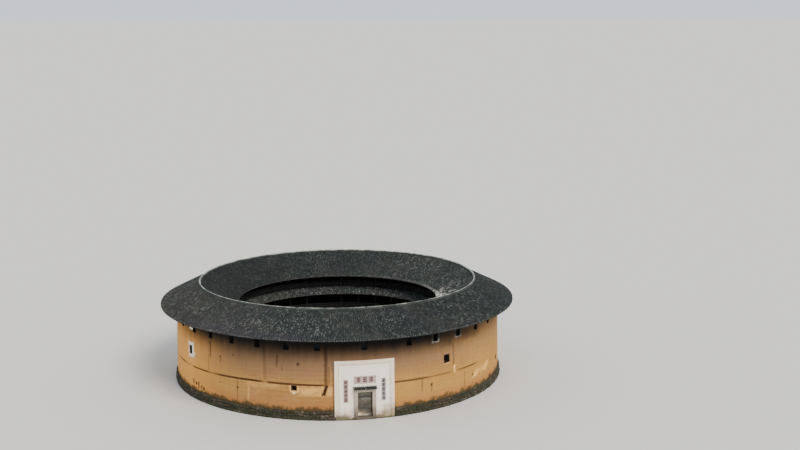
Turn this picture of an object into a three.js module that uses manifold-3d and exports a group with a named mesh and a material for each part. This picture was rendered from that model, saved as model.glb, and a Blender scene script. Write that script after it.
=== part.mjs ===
// A round clan house of rammed earth: a ring wall on a stone footing, timber galleries that face
// a round courtyard, and a tiled ring roof. Millimetres, +Z up. The origin is on the ring's axis,
// at ground level, and the gate faces -Y. Azimuths are in degrees from the gate, towards +X.
import * as THREE from "three";
import { mergeVertices } from "three/addons/utils/BufferGeometryUtils.js";
import Module from "manifold-3d";

const wasm = await Module();
wasm.setup();

// Driving dimensions
const GAP = 0.3; // between pieces that bear on each other
const SPARE = 1; // how far a cutter runs past the face it cuts
const WALL_RADIUS = 17000; // outer face of the earth wall, on top of the footing
const WALL_BATTER = 0.012; // the outer face leans in by this share of its height
const INNER_RADIUS = { // inner faces, which step back to make a ledge at each storey
  footing: WALL_RADIUS - 1400, ground: WALL_RADIUS - 1300,
  middle: WALL_RADIUS - 1150, top: WALL_RADIUS - 1000,
};
const FOOTING = { top: 850, toe: 160, shoulder: 80 }; // toe and shoulder: how far it stands proud
const COURT_LEVEL = 90; // top of the sunken courtyard
const GROUND_FLOOR = 200; // top of the ground storey's floor
const LEDGE = { middle: 3350, top: 5950 }; // ledges of the wall that carry the upper floors
const FLOOR_THICK = 180;
const FACETS = 72; // sides of the outer rings

const BAY = 10; // degrees from post to post
const BAY_FACETS = 360 / BAY;
const POST_RADIUS = 11650; // centres of the gallery posts
const POST_SIZE = 230;
const POST_BAYS = 16; // bays of each half, beside its wide one
const BEAM = { wide: 180, deep: 240 };
const FLOOR_LIP = 60; // how far the upper floors reach into the court past the posts
const COURT_RADIUS = POST_RADIUS - 850; // where the platform steps down to the courtyard
const RAIL = { thick: 60, high: 920 };
const ARM = { r: 10600, wide: 120, deep: 160 }; // carries the skirt roof out from each post

const RIDGE = { r: 14480, z: 10060 };
const OUTER_EAVE = { r: 18530, z: 8080 };
const INNER_EAVE = { r: 10450, z: 7880 };
const ROOF_DEEP = 190; // vertical thickness of tiles, battens and rafters
const RIDGE_CAP = { foot: 120, crown: 55, rise: 130 };
const SKIRT = { low: { r: 10450, z: 5800 }, high: { r: 11470, z: 6400 }, deep: 140 };

const PASSAGE_HALF = 950; // half the clear width of the passage through the wall
const DOOR_HALF = 700; // half the clear width between the stone jambs
const JAMB_WIDE = 330;
const FRAME_HALF = DOOR_HALF + JAMB_WIDE;
const GATE_FRONT = -WALL_RADIUS - 200; // front plane of the stone frame
const GATE_BACK = GATE_FRONT + 450; // back plane of the stone frame
const GATE_EAR = 230; // how far the sill and its sockets reach in behind the frame
const SILL_TOP = 290;
const LINTEL = { under: 2700, top: 2980 };
const INNER_LINTEL = { half: 1250, under: 2800, end: 100 - INNER_RADIUS.ground };
const JAMB_BASE = { proud: 60, top: 800 };
const HOOD = { half: 1120, out: 240, back: 160, front: 70, rise: 210 };

const LEAF = { pivotX: 800, pivotY: GATE_BACK + 55, thick: 80, stile: 45, low: 215, high: 2785 };
const LEAF_CLEARANCE = 4; // from a leaf's edge to the middle of the doorway, when it is shut
const PIN = { r: 35, low: 140, high: 2845 };
const SOCKET = { r: PIN.r + 3, deep: 200, over: 5 };

const PANEL = { half: 9.6, low: 40, high: 5700, thick: 60, border: 310, proud: 50 };
const NAME_BOARD = { half: 3.5, low: 3500, high: 4190 };
const COUPLET = { azimuth: 6.05, half: 0.7, low: 1720, high: 3900 };
const BOARD_PROUD = 40;

// Windows: azimuth, height of the centre, width and height
const TOP_WINDOW = { z: 7060, wide: 560, high: 760 };
const FIRST_TOP_WINDOW = 15;
const LAST_TOP_WINDOW = 165;

// The upper storeys' walls are in stretches, each from one azimuth to another
const MIDDLE_STRETCHES = {
  front_right: [0, 60], right: [60, 120], back_right: [120, 180],
  back_left: [180, 240], left: [240, 300], front_left: [300, 360],
};
const TOP_STRETCHES = {
  front: [-20, 20], front_right: [20, 80], right: [80, 100], back_right: [100, 160],
  back: [160, 200], back_left: [-160, -100], left: [-100, -80], front_left: [-80, -20],
};
const GROUND_WINDOWS = [
  { azimuth: -22.5, z: 3030, wide: 470, high: 450 },
  { azimuth: 65.4, z: 2300, wide: 480, high: 520 },
  { azimuth: -157.5, z: 3030, wide: 470, high: 450 },
  { azimuth: 114.6, z: 2300, wide: 480, high: 520 },
];
const MIDDLE_WINDOWS = [
  { azimuth: -67.7, z: 4800, wide: 500, high: 780 },
  { azimuth: 29.7, z: 4700, wide: 620, high: 740 },
  { azimuth: -112.3, z: 4800, wide: 500, high: 780 },
  { azimuth: 150.3, z: 4700, wide: 620, high: 740 },
];

// Colours
const finish = (color, roughness) => new THREE.MeshStandardMaterial({ color, roughness, metalness: 0 });
const earth = finish(0xc08a52, 0.95);
const rubble = finish(0x5d5448, 0.95);
const plaster = finish(0xe0dad0, 0.9);
const plasterTrim = finish(0xd2c6b8, 0.9);
const boardPaint = finish(0xb9958e, 0.85);
const granite = finish(0x9a948a, 0.85);
const timber = finish(0x4a3a2c, 0.85);
const floorboards = finish(0x5a4636, 0.85);
const tile = finish(0x3c4142, 0.9);
const limeRidge = finish(0x8d9190, 0.9);
const cobbles = finish(0x8a8578, 0.95);

// Turning geometry into solids and back
const rad = THREE.MathUtils.degToRad;
const REACH = 2 * OUTER_EAVE.r; // past every piece
const group = new THREE.Group();

function solid(geometry) {
  const plain = geometry.clone();
  plain.deleteAttribute("normal");
  plain.deleteAttribute("uv");
  const merged = mergeVertices(plain, 1e-3);
  return new wasm.Manifold(new wasm.Mesh({
    numProp: 3,
    vertProperties: merged.attributes.position.array,
    triVerts: new Uint32Array(merged.index.array),
  }));
}

function add(name, shape, material) {
  const mesh = shape.getMesh();
  const geometry = new THREE.BufferGeometry();
  geometry.setAttribute("position", new THREE.BufferAttribute(mesh.vertProperties, 3));
  geometry.setIndex(new THREE.BufferAttribute(mesh.triVerts, 1));
  geometry.computeVertexNormals();
  const node = new THREE.Mesh(geometry, material);
  node.name = name;
  group.add(node);
}

// A ring turned about Z from a closed profile of [radius, height] points, listed anticlockwise
function ring(profile, facets = FACETS) {
  const points = [...profile, profile[0]].map(([r, z]) => new THREE.Vector2(r, z));
  return solid(new THREE.LatheGeometry(points, facets).rotateX(Math.PI / 2));
}

// A ring of rectangular section
function hoop(inner, outer, low, high, facets = FACETS) {
  return ring([[inner, low], [outer, low], [outer, high], [inner, high]], facets);
}

// A box from its low corner to its high corner
function block(low, high) {
  const size = high.map((v, i) => v - low[i]);
  const centre = high.map((v, i) => (v + low[i]) / 2);
  return solid(new THREE.BoxGeometry(...size).translate(...centre));
}

// A box that stands at an azimuth: its depth runs along the radius
function radialBlock(azimuth, inner, outer, wide, low, high) {
  const box = new THREE.BoxGeometry(wide, outer - inner, high - low);
  box.translate(0, -(inner + outer) / 2, (low + high) / 2);
  return solid(box.rotateZ(rad(azimuth)));
}

// An upright cylinder
function rod(radius, low, high, sides) {
  const cylinder = new THREE.CylinderGeometry(radius, radius, high - low, sides);
  return solid(cylinder.rotateX(Math.PI / 2).translate(0, 0, (low + high) / 2));
}

// A wedge of the whole plan between two azimuths, to cut a sector out of a ring
function wedge(from, to, low, high) {
  const corner = (azimuth) => [REACH * Math.sin(rad(azimuth)), -REACH * Math.cos(rad(azimuth))];
  const shape = new THREE.Shape();
  shape.moveTo(0, 0);
  for (const azimuth of [from, (from + to) / 2, to]) shape.lineTo(...corner(azimuth));
  const prism = new THREE.ExtrudeGeometry(shape, { depth: high - low, bevelEnabled: false });
  return solid(prism.translate(0, 0, low));
}

// The halves and quarters that the big rings are split into, with a gap down each seam
const SIDES = [["left", -1], ["right", 1]];
const ENDS = [["front", -1], ["back", 1]];
const span = (sign) => (sign > 0 ? [GAP / 2, REACH] : [-REACH, -GAP / 2]);

function sector(xs, ys) {
  return block([xs[0], ys[0], -REACH], [xs[1], ys[1], REACH]);
}

function addHalves(name, shape, material) {
  for (const [side, sign] of SIDES)
    add(`${name}_${side}`, shape.intersect(sector(span(sign), [-REACH, REACH])), material);
}

function addStretches(name, stretches, shape, material) {
  for (const [side, [from, to]] of Object.entries(stretches)) {
    const stretch = wedge(from + arc(GAP / 2), to - arc(GAP / 2), 0, RIDGE.z);
    add(`${name}_${side}`, shape.intersect(stretch), material);
  }
}

function addQuarters(name, shape, material) {
  for (const [end, endSign] of ENDS)
    for (const [side, sign] of SIDES)
      add(`${name}_${end}_${side}`, shape.intersect(sector(span(sign), span(endSign))), material);
}

// Lines that several pieces share: height or radius along a slope
const arc = (length) => THREE.MathUtils.radToDeg(length / WALL_RADIUS); // degrees along the wall
const wallFace = (z) => WALL_RADIUS - WALL_BATTER * (z - FOOTING.top);
const slopeLine = (from, to) => (r) => from.z + ((to.z - from.z) * (r - from.r)) / (to.r - from.r);
const outerSlope = slopeLine(RIDGE, OUTER_EAVE);
const innerSlope = slopeLine(RIDGE, INNER_EAVE);
const skirtSlope = slopeLine(SKIRT.low, SKIRT.high);

// The opening for the stone frame, its passage and the timber lintel over it
function gateOpening() {
  const frame = block(
    [-FRAME_HALF - GAP, 2 * GATE_FRONT, -SPARE],
    [FRAME_HALF + GAP, GATE_BACK + GAP, LINTEL.top + GAP],
  );
  const passage = block([-PASSAGE_HALF, GATE_FRONT, -SPARE], [PASSAGE_HALF, 0, LEDGE.middle + SPARE]);
  const pocket = block(
    [-INNER_LINTEL.half - GAP, GATE_BACK, INNER_LINTEL.under - GAP],
    [INNER_LINTEL.half + GAP, 0, LINTEL.top + GAP],
  );
  return frame.add(passage).add(pocket);
}

// A curved slab on the wall's face: a sector of a ring that leans with the wall
function faceSlab(half, low, high, from, to, centre = 0) {
  const strip = ring([
    [wallFace(low) + from, low], [wallFace(low) + to, low],
    [wallFace(high) + to, high], [wallFace(high) + from, high],
  ]);
  return strip.intersect(wedge(centre - half, centre + half, low - SPARE, high + SPARE));
}

function addFooting() {
  const { top, toe, shoulder } = FOOTING;
  const inner = INNER_RADIUS.footing;
  const course = ring([[inner, 0], [WALL_RADIUS + toe, 0], [WALL_RADIUS + shoulder, top], [inner, top]]);
  const half = PANEL.half + arc(GAP);
  const seat = hoop(WALL_RADIUS, WALL_RADIUS + 2 * toe, PANEL.low - GAP, top + SPARE)
    .intersect(wedge(-half, half, 0, top + 2 * SPARE));
  addHalves("footing", course.subtract(gateOpening()).subtract(seat), rubble);
}

function storeyWall(inner, low, high) {
  return ring([[inner, low + GAP], [wallFace(low), low + GAP], [wallFace(high), high], [inner, high]]);
}

function cutWindows(shape, windows) {
  const slots = windows.map(({ azimuth, z, wide, high }) => radialBlock(
    azimuth, POST_RADIUS, OUTER_EAVE.r, wide, z - high / 2, z + high / 2,
  ));
  return slots.reduce((left, slot) => left.subtract(slot), shape);
}

function topWindows() {
  const row = [0, 180];
  for (let azimuth = FIRST_TOP_WINDOW; azimuth <= LAST_TOP_WINDOW; azimuth += BAY)
    row.push(azimuth, -azimuth);
  return row.map((azimuth) => ({ azimuth, ...TOP_WINDOW }));
}

function addWalls() {
  const ground = storeyWall(INNER_RADIUS.ground, FOOTING.top, LEDGE.middle);
  addHalves("wall_ground", cutWindows(ground.subtract(gateOpening()), GROUND_WINDOWS), earth);
  const overGate = block(
    [-PASSAGE_HALF + GAP, 2 * GATE_FRONT, LINTEL.top + 2 * GAP],
    [PASSAGE_HALF - GAP, 0, LEDGE.middle + SPARE],
  );
  add("wall_over_gate", ground.intersect(overGate.intersect(sector([-REACH, REACH], span(-1)))), earth);
  const middle = storeyWall(INNER_RADIUS.middle, LEDGE.middle, LEDGE.top);
  addStretches("wall_middle", MIDDLE_STRETCHES, cutWindows(middle, MIDDLE_WINDOWS), earth);
  const face = wallFace(TOP_WINDOW.z + TOP_WINDOW.high);
  const under = (r) => outerSlope(r) - ROOF_DEEP - GAP;
  const top = ring([
    [INNER_RADIUS.top, LEDGE.top + GAP], [wallFace(LEDGE.top), LEDGE.top + GAP],
    [face, under(face)], [INNER_RADIUS.top, under(INNER_RADIUS.top)],
  ]);
  addStretches("wall_top", TOP_STRETCHES, cutWindows(top, topWindows()), earth);
}

function addGroundFloors() {
  add("courtyard_floor", rod(COURT_RADIUS - GAP, 0, COURT_LEVEL, FACETS), cobbles);
  const rim = INNER_RADIUS.footing - GAP;
  const platform = hoop(COURT_RADIUS, rim, 0, GROUND_FLOOR);
  const passage = block(
    [-PASSAGE_HALF + GAP, GATE_BACK + GATE_EAR + GAP, 0],
    [PASSAGE_HALF - GAP, -COURT_RADIUS - POST_SIZE, GROUND_FLOOR],
  );
  add("ground_floor", platform.add(passage), cobbles);
}

function addUpperFloors() {
  const inner = POST_RADIUS - POST_SIZE / 2 - FLOOR_LIP;
  for (const storey of ["middle", "top"]) {
    const low = LEDGE[storey];
    const high = low + FLOOR_THICK;
    const disc = hoop(SKIRT.low.r, INNER_RADIUS[storey] - GAP, low + GAP, high);
    const well = hoop(SKIRT.low.r - BEAM.wide, inner, low - SPARE, high + SPARE, BAY_FACETS);
    add(`${storey}_floor`, disc.subtract(well), floorboards);
  }
}

// A beam from post to post, from one azimuth to another
function beam(from, to, low, high) {
  const spread = rad((to - from) / 2);
  const length = 2 * POST_RADIUS * Math.sin(spread);
  const r = POST_RADIUS * Math.cos(spread);
  return radialBlock((from + to) / 2, r - BEAM.wide / 2, r + BEAM.wide / 2, length, low, high);
}

// The wide beam over the two bays beside a half's first post: it ends at the other half's last post
function wideBeam(start, low, high) {
  const last = start - 2 * BAY;
  const half = POST_SIZE / 2 + GAP;
  const neighbour = radialBlock(last, POST_RADIUS - half, POST_RADIUS + half, 2 * half, low, high);
  const beyond = wedge(last - BAY, last, low, high);
  return beam(last, start, high - BEAM.deep, high - SPARE).subtract(neighbour).subtract(beyond);
}

// Half a storey's gallery frame: the posts, the beams on them and, where asked, the arms
function galleryFrame(start, low, high, withArms) {
  const half = POST_SIZE / 2;
  const armTop = skirtSlope(ARM.r) - SKIRT.deep - GAP;
  const parts = [wideBeam(start, low - SPARE, high)];
  for (let bay = 0; bay <= POST_BAYS; bay++) {
    const azimuth = start + BAY * bay;
    parts.push(radialBlock(azimuth, POST_RADIUS - half, POST_RADIUS + half, POST_SIZE, low, high));
    if (bay < POST_BAYS) parts.push(beam(azimuth, azimuth + BAY, high - BEAM.deep, high - SPARE));
    if (withArms) parts.push(radialBlock(azimuth, ARM.r, POST_RADIUS, ARM.wide, armTop - ARM.deep, armTop));
  }
  return parts.reduce((joined, part) => joined.add(part));
}

function addGalleries() {
  const under = (r) => innerSlope(r) - ROOF_DEEP - GAP;
  const sky = ring([
    [INNER_EAVE.r, under(INNER_EAVE.r)], [RIDGE.r, under(RIDGE.r)], [RIDGE.r, REACH], [INNER_EAVE.r, REACH],
  ]);
  const topLow = LEDGE.top + FLOOR_THICK + GAP;
  const topHigh = under(POST_RADIUS + POST_SIZE / 2);
  for (const [side, start] of [["right", BAY], ["left", 180 + BAY]]) {
    const ground = galleryFrame(start, GROUND_FLOOR + GAP, LEDGE.middle, false);
    add(`gallery_frame_ground_${side}`, ground, timber);
    const middle = galleryFrame(start, LEDGE.middle + FLOOR_THICK + GAP, LEDGE.top, true);
    add(`gallery_frame_middle_${side}`, middle, timber);
    add(`gallery_frame_top_${side}`, galleryFrame(start, topLow, topHigh, false).subtract(sky), timber);
  }
  const outer = POST_RADIUS - POST_SIZE / 2 - GAP;
  for (const storey of ["middle", "top"]) {
    const floor = LEDGE[storey] + FLOOR_THICK;
    const rail = hoop(outer - RAIL.thick, outer, floor + GAP, floor + RAIL.high, BAY_FACETS);
    add(`gallery_rail_${storey}`, rail, timber);
  }
}

function addRoof() {
  const shell = (from, to, line, deep, facets) => ring(
    [[from, line(from) - deep], [to, line(to) - deep], [to, line(to)], [from, line(from)]], facets,
  );
  addQuarters("roof_outer", shell(RIDGE.r + GAP / 2, OUTER_EAVE.r, outerSlope, ROOF_DEEP), tile);
  addQuarters("roof_inner", shell(INNER_EAVE.r, RIDGE.r - GAP / 2, innerSlope, ROOF_DEEP), tile);
  add("skirt_roof", shell(SKIRT.low.r, SKIRT.high.r - GAP, skirtSlope, SKIRT.deep, BAY_FACETS), tile);
  const { foot, crown, rise } = RIDGE_CAP;
  const [low, high] = [RIDGE.r - foot, RIDGE.r + foot];
  add("roof_ridge", ring([
    [low, innerSlope(low) + GAP], [RIDGE.r, RIDGE.z + GAP], [high, outerSlope(high) + GAP],
    [RIDGE.r + crown, RIDGE.z + rise], [RIDGE.r - crown, RIDGE.z + rise],
  ]), limeRidge);
}

// A socket for each leaf's pin
function sockets(low, high) {
  const [left, right] = SIDES.map(([, sign]) => rod(SOCKET.r, low, high, 16)
    .translate(sign * LEAF.pivotX, LEAF.pivotY, 0));
  return left.add(right);
}

function addGateFrame() {
  const [inPassage, inDoor] = [PASSAGE_HALF - GAP, DOOR_HALF - GAP];
  const sill = block([-FRAME_HALF, GATE_FRONT, 0], [FRAME_HALF, GATE_BACK, GROUND_FLOOR])
    .add(block([-inPassage, GATE_BACK - SPARE, 0], [inPassage, GATE_BACK + GATE_EAR, GROUND_FLOOR]))
    .add(block([-inDoor, GATE_FRONT, GROUND_FLOOR - SPARE], [inDoor, GATE_BACK, SILL_TOP]));
  add("gate_threshold", sill.subtract(sockets(PIN.low, PIN.low + SOCKET.deep)), granite);
  for (const [side, sign] of SIDES) {
    const xs = [sign * DOOR_HALF, sign * FRAME_HALF].sort((a, b) => a - b);
    const foot = GROUND_FLOOR + GAP;
    const jamb = block([xs[0], GATE_FRONT, foot], [xs[1], GATE_BACK, LINTEL.under - GAP])
      .add(block([xs[0], GATE_FRONT - JAMB_BASE.proud, foot], [xs[1], GATE_BACK, JAMB_BASE.top]));
    add(`gate_jamb_${side}`, jamb, granite);
  }
  add("gate_lintel", block(
    [-FRAME_HALF, GATE_FRONT, LINTEL.under], [FRAME_HALF, GATE_BACK, LINTEL.top],
  ), granite);
  const innerLintel = block(
    [-INNER_LINTEL.half, GATE_BACK + 2 * GAP, INNER_LINTEL.under],
    [INNER_LINTEL.half, INNER_LINTEL.end, LINTEL.top],
  );
  const top = PIN.high + SOCKET.over;
  add("gate_inner_lintel", innerLintel.subtract(sockets(INNER_LINTEL.under - SPARE, top)), timber);
}

// The little tiled roof over the doorway, which falls away from the wall
function addHood() {
  const { half, out, back, front, rise } = HOOD;
  const low = LINTEL.top + GAP;
  const side = new THREE.Shape([
    [GATE_FRONT - out, low], [GATE_FRONT + back, low],
    [GATE_FRONT + back, low + rise], [GATE_FRONT - out, low + front],
  ].map(([y, z]) => new THREE.Vector2(y, z)));
  const prism = new THREE.ExtrudeGeometry(side, { depth: 2 * half, bevelEnabled: false });
  prism.rotateY(Math.PI / 2).rotateX(Math.PI / 2).translate(-half, 0, 0);
  add("gate_hood", solid(prism), tile);
}

function addPlaster() {
  const { half, low, high, thick, border, proud } = PANEL;
  const inner = half - arc(border);
  const gate = block([-FRAME_HALF - GAP, 2 * GATE_FRONT, 0], [FRAME_HALF + GAP, 0, LINTEL.top + 2 * GAP]);
  add("gate_plaster", faceSlab(inner, low, high - border, GAP, thick).subtract(gate), plaster);
  const core = faceSlab(inner + arc(GAP), low - SPARE, high - border + GAP, -SPARE, 2 * (thick + proud));
  add("gate_plaster_border", faceSlab(half, low, high, GAP, thick + proud).subtract(core), plasterTrim);
}

function addBoards() {
  const board = (name, { half, low, high }, azimuth) => {
    const slab = faceSlab(half, low, high, PANEL.thick + GAP, PANEL.thick + BOARD_PROUD, azimuth);
    add(name, slab, boardPaint);
  };
  board("name_board", NAME_BOARD, 0);
  for (const [side, sign] of SIDES) board(`couplet_board_${side}`, COUPLET, sign * COUPLET.azimuth);
}

// A gate leaf stands open along the passage: planks, a round stile and its pin
function addLeaves() {
  const { pivotX, pivotY, thick, stile, low, high } = LEAF;
  for (const [side, sign] of SIDES) {
    const leaf = block([-thick / 2, 0, low], [thick / 2, pivotX - LEAF_CLEARANCE, high])
      .add(rod(stile, low, high, 16))
      .add(rod(PIN.r, PIN.low + GAP, PIN.high, 12));
    add(`gate_leaf_${side}`, leaf.translate(sign * pivotX, pivotY, 0), timber);
  }
}

addFooting();
addWalls();
addGroundFloors();
addUpperFloors();
addGalleries();
addRoof();
addGateFrame();
addHood();
addPlaster();
addBoards();
addLeaves();

export default group;
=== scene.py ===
# %% [markdown]
# # A round house of rammed earth
# The house is a ring: a thick wall of pounded earth outside, timber galleries inside, and one
# tiled roof that falls both ways from its ridge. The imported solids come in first, as a fixed
# frame. Everything that follows is modelled in metres in that same frame, with the gate on -Y,
# so a piece can be set in place from the measures alone.

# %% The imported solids
import bmesh
import bpy
import numpy as np
from mathutils import Matrix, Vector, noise


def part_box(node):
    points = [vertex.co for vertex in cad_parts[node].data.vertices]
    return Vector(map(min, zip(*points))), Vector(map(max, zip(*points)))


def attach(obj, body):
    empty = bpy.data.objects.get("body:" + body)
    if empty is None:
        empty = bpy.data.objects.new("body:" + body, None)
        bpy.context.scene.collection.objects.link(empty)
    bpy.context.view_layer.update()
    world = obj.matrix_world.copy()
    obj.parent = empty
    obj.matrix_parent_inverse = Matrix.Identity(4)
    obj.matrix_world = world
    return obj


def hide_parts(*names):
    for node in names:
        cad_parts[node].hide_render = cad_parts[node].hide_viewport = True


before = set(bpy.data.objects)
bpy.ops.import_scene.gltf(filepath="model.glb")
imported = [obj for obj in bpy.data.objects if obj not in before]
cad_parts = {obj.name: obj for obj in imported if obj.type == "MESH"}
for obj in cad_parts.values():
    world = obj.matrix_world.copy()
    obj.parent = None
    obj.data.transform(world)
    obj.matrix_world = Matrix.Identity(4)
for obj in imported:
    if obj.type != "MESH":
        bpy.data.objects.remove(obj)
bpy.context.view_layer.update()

# %% [markdown]
# ## Measures
# Levels are read off the solids, so a change there moves the looks with it. The rest are the
# radii of the wall and the slopes of the roof, which are lines between two points (radius and
# height). Azimuths are degrees from the gate, and they grow to the right as seen from outside.

# %% Measures
def foot_of(node):
    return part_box(node)[0][2]


def top_of(node):
    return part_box(node)[1][2]


WALL_RADIUS = 17.0
BATTER = 0.012
FOOTING_TOP = top_of("footing_left")
GROUND_FLOOR = top_of("ground_floor")
MIDDLE_LEDGE, TOP_LEDGE = foot_of("middle_floor"), foot_of("top_floor")
MIDDLE_FLOOR, TOP_FLOOR = top_of("middle_floor"), top_of("top_floor")
INNER_RADIUS = {"ground": 15.7, "middle": 15.85, "top": 16.0}
POST_RADIUS = 11.65
FLOOR_EDGE = POST_RADIUS - 0.175
RIDGE, OUTER_EAVE, INNER_EAVE = (14.48, 10.06), (18.53, 8.08), (10.45, 7.88)
SKIRT_HEAD, SKIRT_EAVE = (11.46, 6.40), (10.45, 5.80)
ROOF_DEEP = 0.19
FRAME_HALF = 1.03
LINTEL_TOP = top_of("gate_lintel")
GATE_FRONT, GATE_BACK = -17.2, -16.75
print("levels:", [round(v, 2) for v in (FOOTING_TOP, MIDDLE_LEDGE, TOP_LEDGE, RIDGE[1])])


def wall_face(z):
    """Radius of the wall's outer face, which leans in a little as it rises."""
    return WALL_RADIUS - BATTER * (z - FOOTING_TOP)


def slope_line(start, end):
    """Height along a roof slope, as a function of the radius."""
    return lambda r: start[1] + (end[1] - start[1]) * (r - start[0]) / (end[0] - start[0])


# %% [markdown]
# ## Camera, floor and light
# The view is from far off and a little above, slightly to the left of the gate. Its angles come
# from lining up the ridge, the eaves and the wall's seam with circles on one axis, and a long lens
# keeps the ellipses nearly parallel. A pale sky lights everything softly, and one broad lamp from
# the front right makes the right side of the wall the brighter one.

# %% Camera
EYE = (-17.58, -123.55, 37.3)
YAW, PITCH, ROLL = 11.153, 9.891, -0.291
LENS = 54.0

camera = bpy.data.objects.new("camera", bpy.data.cameras.new("camera"))
camera.data.lens = LENS
camera.data.sensor_width = 36.0
camera.data.clip_end = 20000.0
camera.matrix_world = (
    Matrix.Translation(EYE)
    @ Matrix.Rotation(np.radians(-YAW), 4, "Z")
    @ Matrix.Rotation(np.radians(90 - PITCH), 4, "X")
    @ Matrix.Rotation(np.radians(ROLL), 4, "Z")
)
bpy.context.scene.collection.objects.link(camera)
bpy.context.scene.camera = camera
print("camera:", EYE, "lens:", LENS)

# %% Light
world = bpy.data.worlds.new("pale_sky")
world.use_nodes = True
sky = world.node_tree.nodes["Background"]
sky.inputs["Color"].default_value = (0.86, 0.92, 1.0, 1.0)
sky.inputs["Strength"].default_value = 1.15
bpy.context.scene.world = world

lamp = bpy.data.lights.new("soft_lamp", "SUN")
lamp.energy = 3.4
lamp.angle = np.radians(30)
lamp.color = (1.0, 0.95, 0.88)
lamp_object = bpy.data.objects.new("soft_lamp", lamp)
lamp_object.rotation_euler = (np.radians(44), 0, np.radians(26))
bpy.context.scene.collection.objects.link(lamp_object)
print("lamp:", lamp.energy, "sky:", sky.inputs["Strength"].default_value)

# %% [markdown]
# ## Many small things as one mesh
# Roof tiles, stones and slats come in their hundreds. Copying Blender objects would be slow, so
# each small thing is a template of a few points, and numpy stamps it at many places at once. The
# copies are joined in one mesh. Two attributes travel with every point: grain, the point's place
# in its own board or stone with z along the fibre, and shade, one random number for each copy, so
# that a material can tell the copies apart.

# %% Places round the ring
RNG = np.random.default_rng(11)


def polar(azimuth, r, z):
    """Points from azimuths in degrees, radii and heights."""
    azimuth, r, z = np.broadcast_arrays(np.radians(azimuth), r, z)
    return np.stack([r * np.sin(azimuth), -r * np.cos(azimuth), z], axis=-1)


def spin(axis, degrees):
    """Rotation matrices about an axis, one for each angle."""
    i, j = {"x": (1, 2), "y": (2, 0), "z": (0, 1)}[axis]
    angle = np.radians(degrees)
    turned = np.zeros((len(angle), 3, 3))
    turned[:, 3 - i - j, 3 - i - j] = 1
    turned[:, i, i] = turned[:, j, j] = np.cos(angle)
    turned[:, i, j] = -np.sin(angle)
    turned[:, j, i] = np.sin(angle)
    return turned


def places(azimuth, r, z, tilt=0.0, turn=0.0, size=(1, 1, 1)):
    """Where copies stand round the ring, as 4x4 matrices. In its own frame a copy has x to the
    right as seen from outside, y into the house and z up. tilt is about x and turn about z."""
    each = np.broadcast_arrays(azimuth, r, z, tilt, turn)
    azimuth, r, z, tilt, turn = (np.array(v, float).ravel() for v in each)
    placed = np.tile(np.eye(4), (len(azimuth), 1, 1))
    placed[:, :3, :3] = spin("z", azimuth) @ spin("x", tilt) @ spin("z", turn)
    placed[:, :3, :3] *= np.broadcast_to(size, (len(azimuth), 3))[:, None, :]
    placed[:, :3, 3] = polar(azimuth, r, z)
    return placed


# %% Joining points and faces in a mesh
class Pile:
    """Gathers the points and faces of many things, to be joined in one mesh."""

    def __init__(self):
        self.verts, self.faces, self.slots, self.grain, self.shade = [], [], [], [], []
        self.count = 0

    def add(self, verts, faces, slot=0, grain=None, shade=0.5):
        """faces is a list of arrays of point numbers. All faces in one array have as many corners."""
        verts = np.asarray(verts, float).reshape(-1, 3)
        self.verts.append(verts)
        for group in faces:
            self.more_faces(group, self.count, slot)
        self.grain.append(verts if grain is None else grain.reshape(-1, 3))
        self.shade.append(np.broadcast_to(shade, len(verts)))
        self.count += len(verts)

    def more_faces(self, group, first, slot):
        """Faces between points that are in the pile already, numbered from the first of them."""
        self.faces.append(np.asarray(group) + first)
        self.slots.append(np.full(len(group), slot))

    def stamp(self, template, where, slot=0, fibre=2):
        """Copies a template to each place. fibre is the template's axis that its grain follows."""
        points, faces = template
        copies, corners = len(where), len(points)
        verts = np.einsum("nij,kj->nki", where[:, :3, :3], points) + where[:, None, :3, 3]
        first = np.arange(copies)[:, None, None] * corners
        groups = [(group[None] + first).reshape(-1, group.shape[1]) for group in faces]
        grain = np.roll(points, 2 - fibre, axis=1) + RNG.uniform(-40, 40, (copies, 1, 3))
        self.add(verts, groups, slot, grain, np.repeat(RNG.random(copies), corners))

    def piece(self, name, materials, nodes=(), body="house", smooth=False):
        verts = np.concatenate(self.verts)
        corners = np.concatenate([group.ravel() for group in self.faces])
        sizes = np.concatenate([np.full(len(group), group.shape[1]) for group in self.faces])
        mesh = bpy.data.meshes.new(name)
        mesh.vertices.add(len(verts))
        mesh.vertices.foreach_set("co", verts.ravel())
        mesh.loops.add(len(corners))
        mesh.loops.foreach_set("vertex_index", corners.astype(np.int32))
        mesh.polygons.add(len(sizes))
        mesh.polygons.foreach_set("loop_start", (np.cumsum(sizes) - sizes).astype(np.int32))
        mesh.polygons.foreach_set("material_index", np.concatenate(self.slots).astype(np.int32))
        mesh.polygons.foreach_set("use_smooth", np.full(len(sizes), smooth))
        mesh.update(calc_edges=True)
        if smooth:
            mesh.set_sharp_from_angle(angle=np.radians(38))
        grain = mesh.attributes.new("grain", "FLOAT_VECTOR", "POINT")
        grain.data.foreach_set("vector", np.concatenate(self.grain).astype(np.float32).ravel())
        shade = mesh.attributes.new("shade", "FLOAT", "POINT")
        shade.data.foreach_set("value", np.concatenate(self.shade).astype(np.float32))
        for material in materials:
            mesh.materials.append(material)
        made = bpy.data.objects.new(name, mesh)
        bpy.context.scene.collection.objects.link(made)
        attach(made, body)
        if nodes:
            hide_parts(*nodes)
        print(f"{name}: {int((sizes - 2).sum())} triangles")
        return made


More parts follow.
